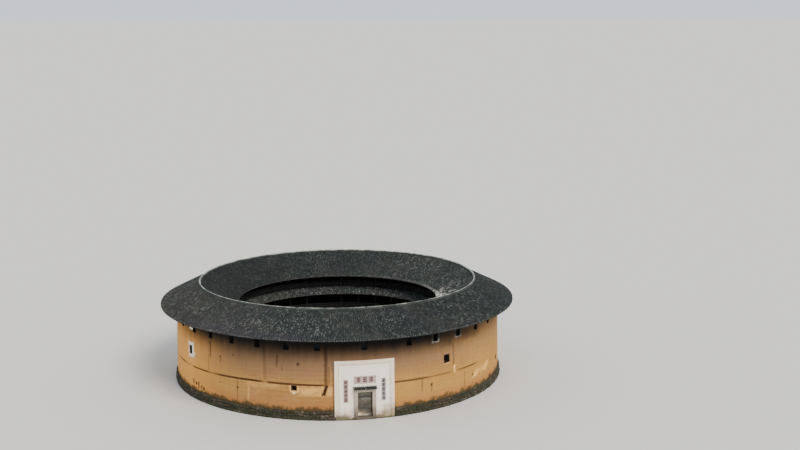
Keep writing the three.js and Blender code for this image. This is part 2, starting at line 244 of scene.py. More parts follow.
# %% Templates
def box(wide, deep, high, foot=False):
    """A plain box round the origin, or standing on it."""
    sign = np.array([[x, y, z] for x in (-1, 1) for y in (-1, 1) for z in (-1, 1)])
    points = sign * np.array([wide, deep, high]) / 2
    if foot:
        points[:, 2] += high / 2
    quads = np.array([[0, 1, 3, 2], [4, 6, 7, 5], [0, 4, 5, 1], [2, 3, 7, 6], [0, 2, 6, 4], [1, 5, 7, 3]])
    return points, [quads]


def extruded(outline, axis, low, high):
    """A closed outline, listed anticlockwise as seen against the axis, drawn out along it."""
    outline = np.asarray(outline, float)
    n = len(outline)
    ends = [np.insert(outline, 2, level, axis=1) for level in (low, high)]
    points = np.roll(np.concatenate(ends), axis + 1, axis=1)
    i = np.arange(n)
    sides = np.stack([i, (i + 1) % n, (i + 1) % n + n, i + n], axis=1)
    return points, [sides, np.array([i[::-1], i + n])]


def chamfered(wide, deep, cut):
    """A rectangle with its corners cut off."""
    x, y = wide / 2, deep / 2
    return [(x - cut, -y), (x, cut - y), (x, y - cut), (x - cut, y),
            (cut - x, y), (-x, y - cut), (-x, cut - y), (cut - x, -y)]


def turned(profile, sides):
    """A body turned about z from [radius, height] points that rise, closed at both ends."""
    angle = np.arange(sides) * 2 * np.pi / sides
    rings = [np.stack([r * np.cos(angle), r * np.sin(angle), np.full(sides, z)], axis=1) for r, z in profile]
    i = np.arange(sides)
    walls = [np.stack([i, np.roll(i, -1), np.roll(i, -1) + sides, i + sides], axis=1) + sides * k
             for k in range(len(profile) - 1)]
    caps = np.array([i[::-1], i + sides * (len(profile) - 1)])
    return np.concatenate(rings), [np.concatenate(walls), caps]


def swept(profile, azimuths, closed=False):
    """A closed profile of [radius, height] points, anticlockwise as seen with the radius to the
    right, carried round the ring. A closed sweep goes all the way round."""
    azimuths = np.asarray(azimuths, float)
    r, z = np.asarray(profile, float).T
    points = polar(azimuths[:, None], r[None], z[None])
    m, n = len(r), len(azimuths)
    stretch = np.arange(n if closed else n - 1)
    number = lambda i, k: (i % n)[:, None] * m + (k % m)[None]
    k = np.arange(m)
    quads = np.stack([number(stretch, k), number(stretch, k + 1),
                      number(stretch + 1, k + 1), number(stretch + 1, k)], axis=-1).reshape(-1, 4)
    faces = [quads[:, ::-1]]
    if not closed:
        faces.append(np.array([k, (k + (n - 1) * m)[::-1]]))
    return points.reshape(-1, 3), faces


def moved(template, x, y, z):
    points, faces = template
    return points + np.array([x, y, z]), faces


def swung(template, axis, degrees):
    points, faces = template
    return points @ spin(axis, [degrees])[0].T, faces


def put(template, x, y, z, turn=None):
    """A template and the one place where it goes, without a turn unless a matrix gives one."""
    where = np.eye(4)[None].copy()
    where[0, :3, 3] = (x, y, z)
    if turn is not None:
        where[0, :3, :3] = turn
    return template, where


print("templates:", [f.__name__ for f in (box, extruded, turned, swept)])

# %% [markdown]
# ## Building materials from nodes
# A material here is a short chain: masks that say where something shows, colours mixed by those
# masks, and a height for the Bump node. A few small helpers keep each chain readable. Points are
# read in the object's own coordinates, so a pattern stays fixed when a leaf of the gate turns.

# %% Node helpers
def colour(text):
    """A colour picked on screen, as the linear values that Blender works with."""
    parts = np.array([int(text[k:k + 2], 16) / 255 for k in (0, 2, 4)])
    linear = np.where(parts < 0.04045, parts / 12.92, ((parts + 0.055) / 1.055) ** 2.4)
    return (*linear, 1.0)


def fill(tree, made, inputs):
    """Sets or links a node's inputs, by name or number."""
    for key, value in inputs.items():
        socket = made.inputs[key]
        if isinstance(value, bpy.types.NodeSocket):
            tree.links.new(value, socket)
        else:
            socket.default_value = value
    return made


def node(tree, kind, inputs=(), **settings):
    made = tree.nodes.new(kind)
    for key, value in settings.items():
        setattr(made, key, value)
    return fill(tree, made, dict(inputs))


def sums(tree, operation, *values):
    """One sum of a Math node: its result."""
    return node(tree, "ShaderNodeMath", enumerate(values), operation=operation).outputs[0]


def times(tree, one, other):
    return sums(tree, "MULTIPLY", one, other)


def plus(tree, one, other):
    return sums(tree, "ADD", one, other)


def less(tree, one, other):
    return sums(tree, "SUBTRACT", one, other)


def between(tree, value, low, high, start=0.0, end=1.0):
    """A smooth step: start below low, end above high."""
    made = node(tree, "ShaderNodeMapRange", interpolation_type="SMOOTHSTEP")
    fill(tree, made, {"Value": value, "From Min": low, "From Max": high, "To Min": start, "To Max": end})
    return made.outputs["Result"]


def mixed(tree, share, under, over, blend="MIX"):
    """Two colours mixed by a share from 0 to 1. A number alone stands for a constant share."""
    made = node(tree, "ShaderNodeMix", data_type="RGBA", blend_type=blend)
    return fill(tree, made, {0: share, 6: under, 7: over}).outputs[2]


def toned(tree, base, mask, tone, share=None):
    """The base colour with a tone over it where the mask is, or a share of that tone."""
    return mixed(tree, mask if share is None else times(tree, mask, share), base, colour(tone))


def noisy(tree, vector, scale, detail=3.0, rough=0.55):
    made = node(tree, "ShaderNodeTexNoise", noise_dimensions="3D")
    inputs = {"Vector": vector, "Scale": scale, "Detail": detail, "Roughness": rough}
    return fill(tree, made, inputs).outputs[0]


def round_the_ring(tree, along, stops):
    """A value that changes round the ring, read off a ramp with stops of (azimuth, value)."""
    half = np.pi * WALL_RADIUS
    share = node(tree, "ShaderNodeMapRange", {"Value": along, "From Min": -half, "From Max": half})
    made = node(tree, "ShaderNodeValToRGB", {"Fac": share.outputs["Result"]})
    ramp = made.color_ramp.elements
    for stop, (_, value) in zip(ramp, (stops[0], stops[-1])):
        stop.color = (value, value, value, 1.0)
    for azimuth, value in stops[1:-1]:
        ramp.new(azimuth / 360 + 0.5).color = (value, value, value, 1.0)
    return made.outputs["Color"]


def own_place(tree):
    return node(tree, "ShaderNodeTexCoord").outputs["Object"]


def attribute(tree, name, output="Fac"):
    return node(tree, "ShaderNodeAttribute", attribute_name=name, attribute_type="GEOMETRY").outputs[output]


def new_material(name, rough=0.9):
    """An empty material with its Principled shader."""
    material = bpy.data.materials.new(name)
    material.use_nodes = True
    tree = material.node_tree
    tree.nodes.clear()
    surface = node(tree, "ShaderNodeBsdfPrincipled", {"Roughness": rough, "Specular IOR Level": 0.25})
    output = node(tree, "ShaderNodeOutputMaterial")
    tree.links.new(surface.outputs[0], output.inputs["Surface"])
    return material, tree, surface


def dress(tree, surface, base, height, depth, strength):
    """Feeds the shader its colour, and a height, in shares of depth, through a Bump node."""
    tree.links.new(base, surface.inputs["Base Color"])
    bump = node(tree, "ShaderNodeBump", {"Height": height, "Distance": depth, "Strength": strength})
    tree.links.new(bump.outputs[0], surface.inputs["Normal"])


# %% [markdown]
# ## Shared effects
# Some effects turn up in many finishes, so each is a node group with named inputs: the place on
# the ring, patches, single marks, grit, wood fibre, soot and painted shade under the eave, and
# settled dust. Groups put out masks and heights only. The shader itself stays in each material.

# %% Group helpers
def new_group(name, inputs, outputs):
    """A shader group, with its input node's outputs and its output node."""
    tree = bpy.data.node_groups.new(name, "ShaderNodeTree")
    for socket, kind, value in inputs:
        made = tree.interface.new_socket(socket, in_out="INPUT", socket_type=f"NodeSocket{kind}")
        if value is not None:
            made.default_value = value
    for socket, kind in outputs:
        tree.interface.new_socket(socket, in_out="OUTPUT", socket_type=f"NodeSocket{kind}")
    return tree, tree.nodes.new("NodeGroupInput").outputs, tree.nodes.new("NodeGroupOutput")


def use(tree, group, inputs):
    made = tree.nodes.new("ShaderNodeGroup")
    made.node_tree = group
    return fill(tree, made, inputs).outputs


def stretched(tree, vector, across, up):
    """A vector scaled by one number along x and y, and another along z."""
    scale = node(tree, "ShaderNodeCombineXYZ", {0: across, 1: across, 2: up}).outputs[0]
    return node(tree, "ShaderNodeVectorMath", {0: vector, 1: scale}, operation="MULTIPLY").outputs[0]


# %% Place on the ring
ring_place, entry, leave = new_group(
    "Ring place", [("Vector", "Vector", None)],
    [("Along", "Float"), ("Height", "Float"), ("Radius", "Float")])
split = node(ring_place, "ShaderNodeSeparateXYZ", {0: entry["Vector"]}).outputs
angle = sums(ring_place, "ARCTAN2", split[0], times(ring_place, split[1], -1.0))
flat = stretched(ring_place, entry["Vector"], 1.0, 0.0)
reach = node(ring_place, "ShaderNodeVectorMath", {0: flat}, operation="LENGTH").outputs["Value"]
fill(ring_place, leave, {
    "Along": times(ring_place, angle, WALL_RADIUS), "Height": split[2], "Radius": reach})


def on_the_ring(tree, here):
    """How far round the wall a point lies, in metres from the gate, its height and its radius."""
    return use(tree, ring_place, {"Vector": here})


print("group:", ring_place.name)

# %% Patches
patches, entry, leave = new_group(
    "Patches",
    [("Vector", "Vector", None), ("Across", "Float", 1.0), ("Up", "Float", 1.0), ("Detail", "Float", 4.0),
     ("From", "Float", 0.4), ("To", "Float", 0.6)],
    [("Mask", "Float")])
spread = stretched(patches, entry["Vector"], entry["Across"], entry["Up"])
fill(patches, leave, {"Mask": between(
    patches, noisy(patches, spread, 1.0, entry["Detail"], 0.6), entry["From"], entry["To"])})


def patch(tree, vector, across, low=0.4, high=0.6, up=None, detail=4.0):
    """Patches, the finer the larger across is. up is their fineness in height, if it differs."""
    return use(tree, patches, {
        "Vector": vector, "Across": across, "Up": across if up is None else up, "Detail": detail,
        "From": low, "To": high})["Mask"]


print("group:", patches.name)

# %% One mark on the wall
mark, entry, leave = new_group(
    "Mark",
    [("Along", "Float", 0.0), ("Height", "Float", 0.0), ("At", "Float", 0.0), ("Level", "Float", 0.0),
     ("Half Width", "Float", 0.1), ("Half Height", "Float", 0.1), ("Soft", "Float", 0.05),
     ("Lean", "Float", 0.0)],
    [("Mask", "Float")])
above = less(mark, entry["Height"], entry["Level"])
beside = less(mark, less(mark, entry["Along"], entry["At"]), times(mark, above, entry["Lean"]))
sides = []
for offset, half in ((beside, "Half Width"), (above, "Half Height")):
    away = less(mark, sums(mark, "ABSOLUTE", offset), entry[half])
    sides.append(between(mark, away, 0.0, entry["Soft"], 1.0, 0.0))
fill(mark, leave, {"Mask": times(mark, *sides)})
print("group:", mark.name)

# %% Grit
grit, entry, leave = new_group(
    "Grit",
    [("Vector", "Vector", None), ("Lumps", "Float", 6.0), ("Grains", "Float", 40.0),
     ("Grain Share", "Float", 0.4)],
    [("Height", "Float")])
lumps = noisy(grit, entry["Vector"], entry["Lumps"], 4.0, 0.6)
grains = noisy(grit, entry["Vector"], entry["Grains"], 2.0, 0.5)
fill(grit, leave, {"Height": plus(grit, lumps, times(grit, grains, entry["Grain Share"]))})


def gritty(tree, vector, lumps, grains=40.0, share=0.4):
    """Height of a rough surface: lumps, and a share of finer grains on them."""
    return use(tree, grit, {
        "Vector": vector, "Lumps": lumps, "Grains": grains, "Grain Share": share})["Height"]


print("group:", grit.name)

# %% Wood fibre
fibre_group, entry, leave = new_group(
    "Wood fibre", [("Vector", "Vector", None), ("Fineness", "Float", 1.0)],
    [("Tone", "Float"), ("Cracks", "Float"), ("Height", "Float")])
bands = noisy(fibre_group, stretched(fibre_group, entry["Vector"], 9.0, 0.55), entry["Fineness"], 4.0, 0.6)
strands = noisy(fibre_group, stretched(fibre_group, entry["Vector"], 55.0, 1.6), entry["Fineness"], 2.0, 0.5)
cracks = between(fibre_group, times(fibre_group, strands, bands), 0.16, 0.11)
fill(fibre_group, leave, {
    "Tone": between(fibre_group, bands, 0.3, 0.7), "Cracks": cracks,
    "Height": less(fibre_group, times(fibre_group, strands, 0.6), cracks)})
print("group:", fibre_group.name)

# %% Soot, damp and painted shade under the eave
eave_soot_and_shade_group, entry, leave = new_group(
    "Soot and painted shade under the eave",
    [("Vector", "Vector", None), ("Height", "Float", 0.0), ("Low", "Float", 4.9), ("High", "Float", 7.35),
     ("Amount", "Float", 1.0)],
    [("Mask", "Float")])
drips = noisy(eave_soot_and_shade_group, stretched(eave_soot_and_shade_group, entry["Vector"], 1.3, 0.3), 1.0, 5.0, 0.6)
ragged = plus(eave_soot_and_shade_group, entry["Height"], times(eave_soot_and_shade_group, less(eave_soot_and_shade_group, drips, 0.5), 0.7))
sooted_and_shaded = between(eave_soot_and_shade_group, ragged, entry["Low"], entry["High"])
fill(eave_soot_and_shade_group, leave, {"Mask": times(eave_soot_and_shade_group, sooted_and_shaded, entry["Amount"])})
print("group:", eave_soot_and_shade_group.name)

# %% Settled dust and moss, on faces that look up
settled, entry, leave = new_group(
    "Settled",
    [("Vector", "Vector", None), ("Scale", "Float", 3.0), ("Amount", "Float", 0.5)],
    [("Mask", "Float")])
facing = node(settled, "ShaderNodeNewGeometry").outputs["Normal"]
up = node(settled, "ShaderNodeSeparateXYZ", {0: facing}).outputs[2]
cloud = noisy(settled, entry["Vector"], entry["Scale"], 5.0, 0.65)
reachable = between(settled, up, 0.1, 0.8)
lying = between(settled, plus(settled, cloud, times(settled, entry["Amount"], 0.5)), 0.62, 0.8)
fill(settled, leave, {"Mask": times(settled, reachable, lying)})
print("group:", settled.name)

# %% [markdown]
# ## Rammed earth
# Earth is pounded between boards, a lift of about four hands at a time, so the wall is faintly
# banded, with a joint where each board ended. Rain and smoke have since worked on it: black with
# soot and damp under the eave, brown in the middle, redder and splashed near the foot, and stained
# below beam holes. The black under the eave is also painted shade from the eave, the brown is partly
# painted shade, and the yellower side is partly painted light. Each effect is one mask. What
# changes round the ring is read off a ramp with stops at azimuths, and single marks are listed with
# their places.

# %% The wall's marks
LIFT = 0.43
# The near-black under the eave: soot, and painted shade from the eave.
SOOT_AND_SHADE = "0d0d0e"
SEAM_FOOT = 3.0
SEAM_LEVEL = [  # azimuth, and the seam's height over its foot
    (-180, 0.30), (-95, 0.05), (-64, 0.18), (-51, 0.29), (-38, 0.41), (-15, 0.37), (0, 0.33), (40, 0.25),
    (90, 0.22), (180, 0.30),
]
SEAM_DARK = [
    (-180, 0.5), (-82, 0.1), (-79, 0.9), (-74, 1.0), (-72, 0.45), (-69, 0.4), (-67.5, 0.05), (-66, 0.9),
    (-57, 0.9), (-55.5, 0.35), (-50, 0.9), (-34, 1.0), (-33.2, 0.15), (-32.4, 0.15), (-31.5, 0.9),
    (-13.2, 1.0), (-11.4, 0.2), (9.6, 0.8), (20, 0.9), (23, 0.5), (30.5, 0.7), (31.8, 0.2), (32.6, 0.05),
    (34, 0.05), (35, 0.5), (38, 0.8), (44, 0.95), (47, 0.1), (52, 0.05), (180, 0.5),
]
SEAM_HALF = [
    (-180, 0.03), (-62, 0.05), (-52, 0.075), (-34, 0.08), (-14, 0.065), (9, 0.07), (21, 0.06), (26, 0.035),
    (38, 0.05), (46, 0.03), (180, 0.03),
]
# How strong soot and painted shade under the eave are round the ring.
EAVE_SOOT_AND_SHADE = [
    (-180, 0.9), (-88, 0.45), (-76, 0.6), (-64, 0.97), (24, 1.0), (36, 0.85), (50, 0.5), (72, 0.4),
    (100, 0.75), (180, 0.9),
]
# Where the wall is yellower and lighter round the ring: partly the earth's tone, partly painted light on the
# right, where the lamp comes from.
YELLOWER_AND_LIT = [
    (-180, 0.1), (-80, 0.3), (-68, 0.55), (-48, 0.3),
    (-30, 0.1), (-9, 0.15), (10, 0.45), (38, 0.5), (60, 0.65),
    (84, 0.7), (180, 0.1),
]
# How brown the upper wall is round the ring: partly the earth's tone, partly painted shade below the eave.
UPPER_BROWN_AND_SHADE = [
    (-180, 0.6), (-76, 0.2), (-60, 0.6), (-45, 0.8), (-8, 0.8),
    (12, 0.85), (24, 0.75), (40, 0.5), (90, 0.4), (180, 0.6),
]
PALE_SIDE = [
    (-180, 0.1), (-110, 0.2), (-92, 0.5), (-80, 0.7),
    (-68, 0.72), (-60, 0.45), (-50, 0.12), (-42, 0.0), (120, 0.0),
    (180, 0.1),
]
STAINS = [  # azimuth, height, half width, half height, softness, strength, and lean where it has one
    (-12.25, 5.6, 0.08, 2.1, 0.17, 0.66),
    (-12.5, 2.9, 0.09, 0.40, 0.15, 1.0, 0.3), (-17.5, 3.16, 1.1, 0.01, 0.06, 0.5),
    (-13.0, 2.48, 0.12, 0.04, 0.14, 1.0),
    (-22.5, 3.03, 0.28, 0.24, 0.03, 0.95), (-22.45, 3.32, 0.42, 0.02, 0.05, 0.7),
    # The mark at -9.8 is a painted shadow along the left edge of the gate's plaster border.
    (-9.8, 2.9, 0.02, 2.6, 0.14, 0.5), (-11.3, 4.3, 0.04, 0.8, 0.14, 0.35),
    (-55.2, 5.6, 0.05, 0.7, 0.14, 0.6),
    (-56.3, 4.2, 0.03, 0.8, 0.1, 0.25), (-32.4, 5.4, 0.08, 1.7, 0.2, 0.3),
    (-50.3, 5.1, 0.04, 0.08, 0.12, 0.85),
    (-50.3, 4.75, 0.02, 0.2, 0.1, 0.4), (-44.6, 5.55, 0.03, 0.04, 0.12, 0.6),
    (-42.9, 2.4, 0.05, 0.06, 0.12, 0.95),
    (-42.9, 2.25, 0.02, 0.95, 0.1, 0.45), (-28.0, 5.75, 0.03, 0.3, 0.12, 0.6),
    (-28.2, 5.2, 0.02, 0.25, 0.1, 0.55),
    (-26.5, 4.9, 0.02, 0.2, 0.1, 0.3), (-21.1, 5.37, 0.06, 0.08, 0.14, 0.85),
    (-66.2, 1.66, 0.08, 0.18, 0.1, 1.0),
    (-64.3, 1.54, 0.1, 0.12, 0.1, 1.0), (-62.7, 1.5, 0.06, 0.3, 0.1, 1.0),
    (-60.8, 1.42, 0.07, 0.12, 0.1, 0.9),
    (-59.4, 1.34, 0.09, 0.12, 0.1, 1.0), (-50.6, 2.55, 0.02, 0.03, 0.1, 0.6),
    (-67.7, 4.80, 0.30, 0.44, 0.03, 0.95), (-112.3, 4.80, 0.30, 0.44, 0.03, 0.95),
    (29.7, 4.72, 0.37, 0.40, 0.05, 0.97), (150.3, 4.72, 0.37, 0.40, 0.05, 0.97),
    # The marks at 29.5 and 42 darken the wall just under the eave: soot, and painted shade from the eave.
    (29.5, 6.3, 0.6, 0.2, 0.5, 0.25), (42.0, 6.7, 1.2, 0.3, 0.6, 0.4),
    (19.6, 2.65, 0.03, 0.55, 0.1, 0.5),
    (32.8, 5.0, 0.05, 1.0, 0.14, 0.4), (38.4, 2.1, 0.03, 0.75, 0.1, 0.35),
    (23.3, 2.5, 0.06, 0.08, 0.12, 0.9),
    (23.3, 2.1, 0.02, 0.25, 0.1, 0.5), (43.1, 2.2, 0.05, 0.06, 0.12, 0.85),
    (140.0, 5.2, 0.08, 1.6, 0.18, 0.45),
    (171.0, 5.3, 0.03, 0.4, 0.12, 0.5), (118.0, 4.9, 0.05, 0.9, 0.12, 0.4),
    (-148.0, 5.0, 0.06, 1.5, 0.16, 0.5), (-121.0, 2.3, 0.04, 0.8, 0.12, 0.45),
]
PALE = [
    (-15.5, 2.85, 1.3, 0.25, 0.5, 0.6),
    (-22.45, 3.0, 0.36, 0.32, 0.16, 1.0), (-38.5, 1.7, 0.03, 0.95, 0.12, 0.4),
    (33.35, 3.5, 0.04, 0.40, 0.14, 0.9), (45.4, 2.24, 0.2, 0.06, 0.5, 1.0, 0.9),
    (52.4, 2.44, 0.3, 0.08, 0.5, 1.0, 0.9), (49.0, 2.36, 0.3, 0.02, 0.4, 0.6, 0.5),
    (-66.2, 5.6, 0.05, 1.0, 0.15, 0.6), (29.7, 4.24, 0.34, 0.02, 0.08, 0.6),
    (150.0, 2.4, 0.4, 0.2, 0.4, 0.5), (-96.0, 4.2, 0.4, 0.3, 0.4, 0.45), (-68.0, 4.6, 0.6, 0.9, 0.6, 0.4),
    (-36.0, 3.1, 0.8, 0.1, 0.3, 0.3), (-30.0, 3.12, 0.7, 0.08, 0.25, 0.3),
]
print("marks:", len(STAINS), "dark and", len(PALE), "pale")


def all_marks(tree, along, height, marks):
    """The strongest of the listed marks at each point."""
    strongest = 0.0
    for azimuth, level, half_width, half_height, soft, strength, *lean in marks:
        mask = use(tree, mark, {
            "Along": along, "Height": height, "At": np.radians(azimuth) * WALL_RADIUS, "Level": level,
            "Half Width": half_width, "Half Height": half_height, "Soft": soft,
            "Lean": lean[0] if lean else 0.0})["Mask"]
        strongest = sums(tree, "MAXIMUM", strongest, times(tree, mask, strength))
    return strongest


def line_at(tree, height, level, half, soft):
    """A mask along a level line."""
    away = sums(tree, "ABSOLUTE", less(tree, height, level))
    return between(tree, less(tree, away, half), 0.0, soft, 1.0, 0.0)


def shaken(tree, value, wobble, share):
    """A coordinate pushed to and fro, so that what is placed by it gets a wavering edge."""
    return plus(tree, value, times(tree, wobble, share))


# %% Earth as it was pounded
def pounded_earth(tree, here, height, wobble):
    """The bare earth: broad fields of ochre and rose, thin layers, specks, and joints of lifts."""
    fields = patch(tree, here, 0.14, up=0.3)
    rosy = patch(tree, here, 0.45, 0.5, 0.68, up=0.7, detail=5.0)
    layers = patch(tree, here, 0.55, 0.36, 0.64, up=7.0, detail=5.0)
    specks = patch(tree, here, 6.0, 0.5, 0.75)
    base = toned(tree, colour("a2733f"), fields, "b0864d")
    mottled = patch(tree, here, 1.1, 0.5, 0.64, up=1.5, detail=5.0)
    base = toned(tree, base, rosy, "a86f54", 0.5)
    base = toned(tree, base, mottled, "948452", 0.3)
    base = toned(tree, base, layers, "946536", 0.3)
    base = toned(tree, base, specks, "845a36", 0.3)
    lift = sums(tree, "FRACT", sums(tree, "DIVIDE", shaken(tree, height, wobble, 0.12), LIFT))
    broken = between(tree, noisy(tree, here, 0.9), 0.46, 0.6)
    joint = times(tree, between(tree, lift, 0.10, 0.02), broken)
    return toned(tree, base, joint, "6d4c2e", 0.4), joint


# %% Earth as the weather left it
def washed_earth(tree, here, along, height, base):
    """Broad changes: yellower on one side, partly painted light, rain streaks, brown above, partly painted
    shade, redder below, a pale side.
    """
    base = toned(tree, base, round_the_ring(tree, along, YELLOWER_AND_LIT), "bd8b3c")
    streaks = patch(tree, here, 3.2, 0.42, 0.72, up=0.28, detail=3.0)
    washed = times(tree, streaks, between(tree, height, 1.2, 5.5, 0.08, 0.3))
    base = toned(tree, base, washed, "80593a")
    upper = times(tree, between(tree, height, 2.9, 5.6), round_the_ring(tree, along, UPPER_BROWN_AND_SHADE))
    base = toned(tree, base, upper, "7b5f49")
    base = toned(tree, base, between(tree, height, 2.2, 1.05, 0.0, 0.5), "a5683c")
    return toned(tree, base, round_the_ring(tree, along, PALE_SIDE), "f0a850")


def marked_earth(tree, here, along, height, wobble, base):
    """Pale patches with wavering edges, then stains, which fray but keep nearly straight. One stain is a
    painted shadow beside the gate's plaster, and two are soot with painted shade under the eave.
    """
    edges = [shaken(tree, value, wobble, 1.0) for value in (along, height)]
    blotched = between(tree, patch(tree, here, 1.4, 0.3, 0.62, up=2.4), 0, 1, 0.45, 1.0)
    base = toned(tree, base, times(tree, all_marks(tree, *edges, PALE), blotched), "f5b968")
    frayed = times(tree, less(tree, noisy(tree, here, 6.5, 5.0), 0.5), 0.24)
    straight = [shaken(tree, shaken(tree, value, wobble, share), frayed, 1.0)
                for value, share in ((along, 0.22), (height, 0.4))]
    return toned(tree, base, all_marks(tree, *straight, STAINS), "352010")


def seam_line(tree, along, height, wobble):
    """The line where the ground storey's wall dried before the next storey went up on it."""
    level = plus(tree, round_the_ring(tree, along, SEAM_LEVEL), SEAM_FOOT)
    half = round_the_ring(tree, along, SEAM_HALF)
    line = line_at(tree, shaken(tree, height, wobble, 0.2), level, half, 0.05)
    return times(tree, line, round_the_ring(tree, along, SEAM_DARK))


def eave_shade_soot_and_moss(tree, here, along, height, base):
    """Soot and damp under the eave, with painted shade from the eave in the same mask, and moss in tufts over
    the footing.
    """
    amount = round_the_ring(tree, along, EAVE_SOOT_AND_SHADE)
    sooty_and_shaded = use(tree, eave_soot_and_shade_group, {"Vector": here, "Height": height, "Amount": amount})["Mask"]
    base = toned(tree, base, sooty_and_shaded, SOOT_AND_SHADE)
    tufts = less(tree, noisy(tree, stretched(tree, here, 1.7, 1.3), 1.0, 5.0, 0.65), 0.5)
    mossy = between(tree, shaken(tree, height, tufts, 1.5), 1.35, 0.95)
    return toned(tree, base, mossy, "37331f", 0.85)


def earth_outside():
    material, tree, surface = new_material("rammed_earth_outside", 0.95)
    here = own_place(tree)
    wobble = times(tree, less(tree, noisy(tree, here, 2.2, 3.0), 0.5), 0.28)
    place = on_the_ring(tree, here)
    along, height = place["Along"], place["Height"]
    base, joint = pounded_earth(tree, here, height, wobble)
    base = washed_earth(tree, here, along, height, base)
    base = marked_earth(tree, here, along, height, wobble, base)
    seam = seam_line(tree, along, height, wobble)
    base = toned(tree, base, seam, "452a15")
    base = eave_shade_soot_and_moss(tree, here, along, height, base)
    hollow = plus(tree, times(tree, joint, 0.5), seam)
    rough = less(tree, gritty(tree, here, 3.0, 26.0, 0.5), hollow)
    dress(tree, surface, base, rough, 0.03, 0.8)
    return material


def earth_inside(name, light, dark, soot_colour):
    """Earth out of the rain: the side that faces the galleries, and the cheeks of openings. The inner face is
    dark with soot and painted shade, the upper reveals are painted shade, and the passage cheeks are painted
    light.
    """
    material, tree, surface = new_material(name, 0.95)
    here = own_place(tree)
    layers = patch(tree, here, 0.6, 0.35, 0.65, up=6.0)
    soot = patch(tree, here, 0.4, 0.3, 0.7)
    base = toned(tree, colour(light), layers, dark)
    base = toned(tree, base, soot, soot_colour, 0.6)
    dress(tree, surface, base, gritty(tree, here, 3.0, 26.0), 0.03, 0.7)
    return material


EARTH_OUTSIDE = earth_outside()
# The inner face: dark with soot, and darker still as painted shade of the galleries.
EARTH_INSIDE_SHADED = earth_inside("rammed_earth_inside_shaded", "4d4136", "40372e", "2a2724")
# Reveals of the upper storeys: painted shade, nearly black.
EARTH_SHADED_REVEALS = earth_inside("rammed_earth_painted_shade", "231d18", "191512", "0f0e0d")
# Cheeks of the passage: pale, as painted light in the passage's shade.
PASSAGE_EARTH_LIT = earth_inside("passage_earth_painted_light", "c2ab8c", "ad9575", "8a745b")
print("finishes:", EARTH_OUTSIDE.name, EARTH_INSIDE_SHADED.name, EARTH_SHADED_REVEALS.name, PASSAGE_EARTH_LIT.name)

# %% [markdown]
# ## The wall
# The solids are 72-sided and flat. Here each storey is a fine grid on the true curve, and the
# outer face is pushed in and out a finger's width by a few slow waves, as a wall pounded by hand
# would be. Windows are left out of the grid: the columns and rows are snapped to their edges,
# and every edge between a filled and an empty cell gets a strip through the wall.

# %% Windows
TOP_WINDOW = (7.06, 0.56, 0.76)  # height, width and height of the hole
TOP_AZIMUTHS = [0, 180, *(s * a for a in range(15, 170, 10) for s in (-1, 1))]
TOP_WINDOWS = [(azimuth, *TOP_WINDOW) for azimuth in TOP_AZIMUTHS]
GROUND_WINDOWS = [
    (-22.5, 3.03, 0.47, 0.45), (65.4, 2.30, 0.48, 0.52),
    (-157.5, 3.03, 0.47, 0.45), (114.6, 2.30, 0.48, 0.52),
]
MIDDLE_WINDOWS = [
    (-67.7, 4.80, 0.50, 0.78), (29.7, 4.70, 0.62, 0.74),
    (-112.3, 4.80, 0.50, 0.78), (150.3, 4.70, 0.62, 0.74),
]
print("windows:", len(TOP_WINDOWS) + len(GROUND_WINDOWS) + len(MIDDLE_WINDOWS))


def half_angle(wide, r):
    """Half the width of something on the ring, in degrees."""
    return np.degrees(np.arcsin(wide / 2 / r))


# %% A ring wall with holes
def snapped(low, high, step, edges):
    """Even steps from low to high, which give way to the edges that have to be there."""
    edges = [edge for edge in edges if low < edge < high]
    steps = np.linspace(low, high, max(2, round((high - low) / step) + 1))
    clear = [s for s in steps[1:-1] if all(abs(s - edge) > 0.35 * step for edge in edges)]
    return np.unique(np.round([low, high, *edges, *clear], 6))


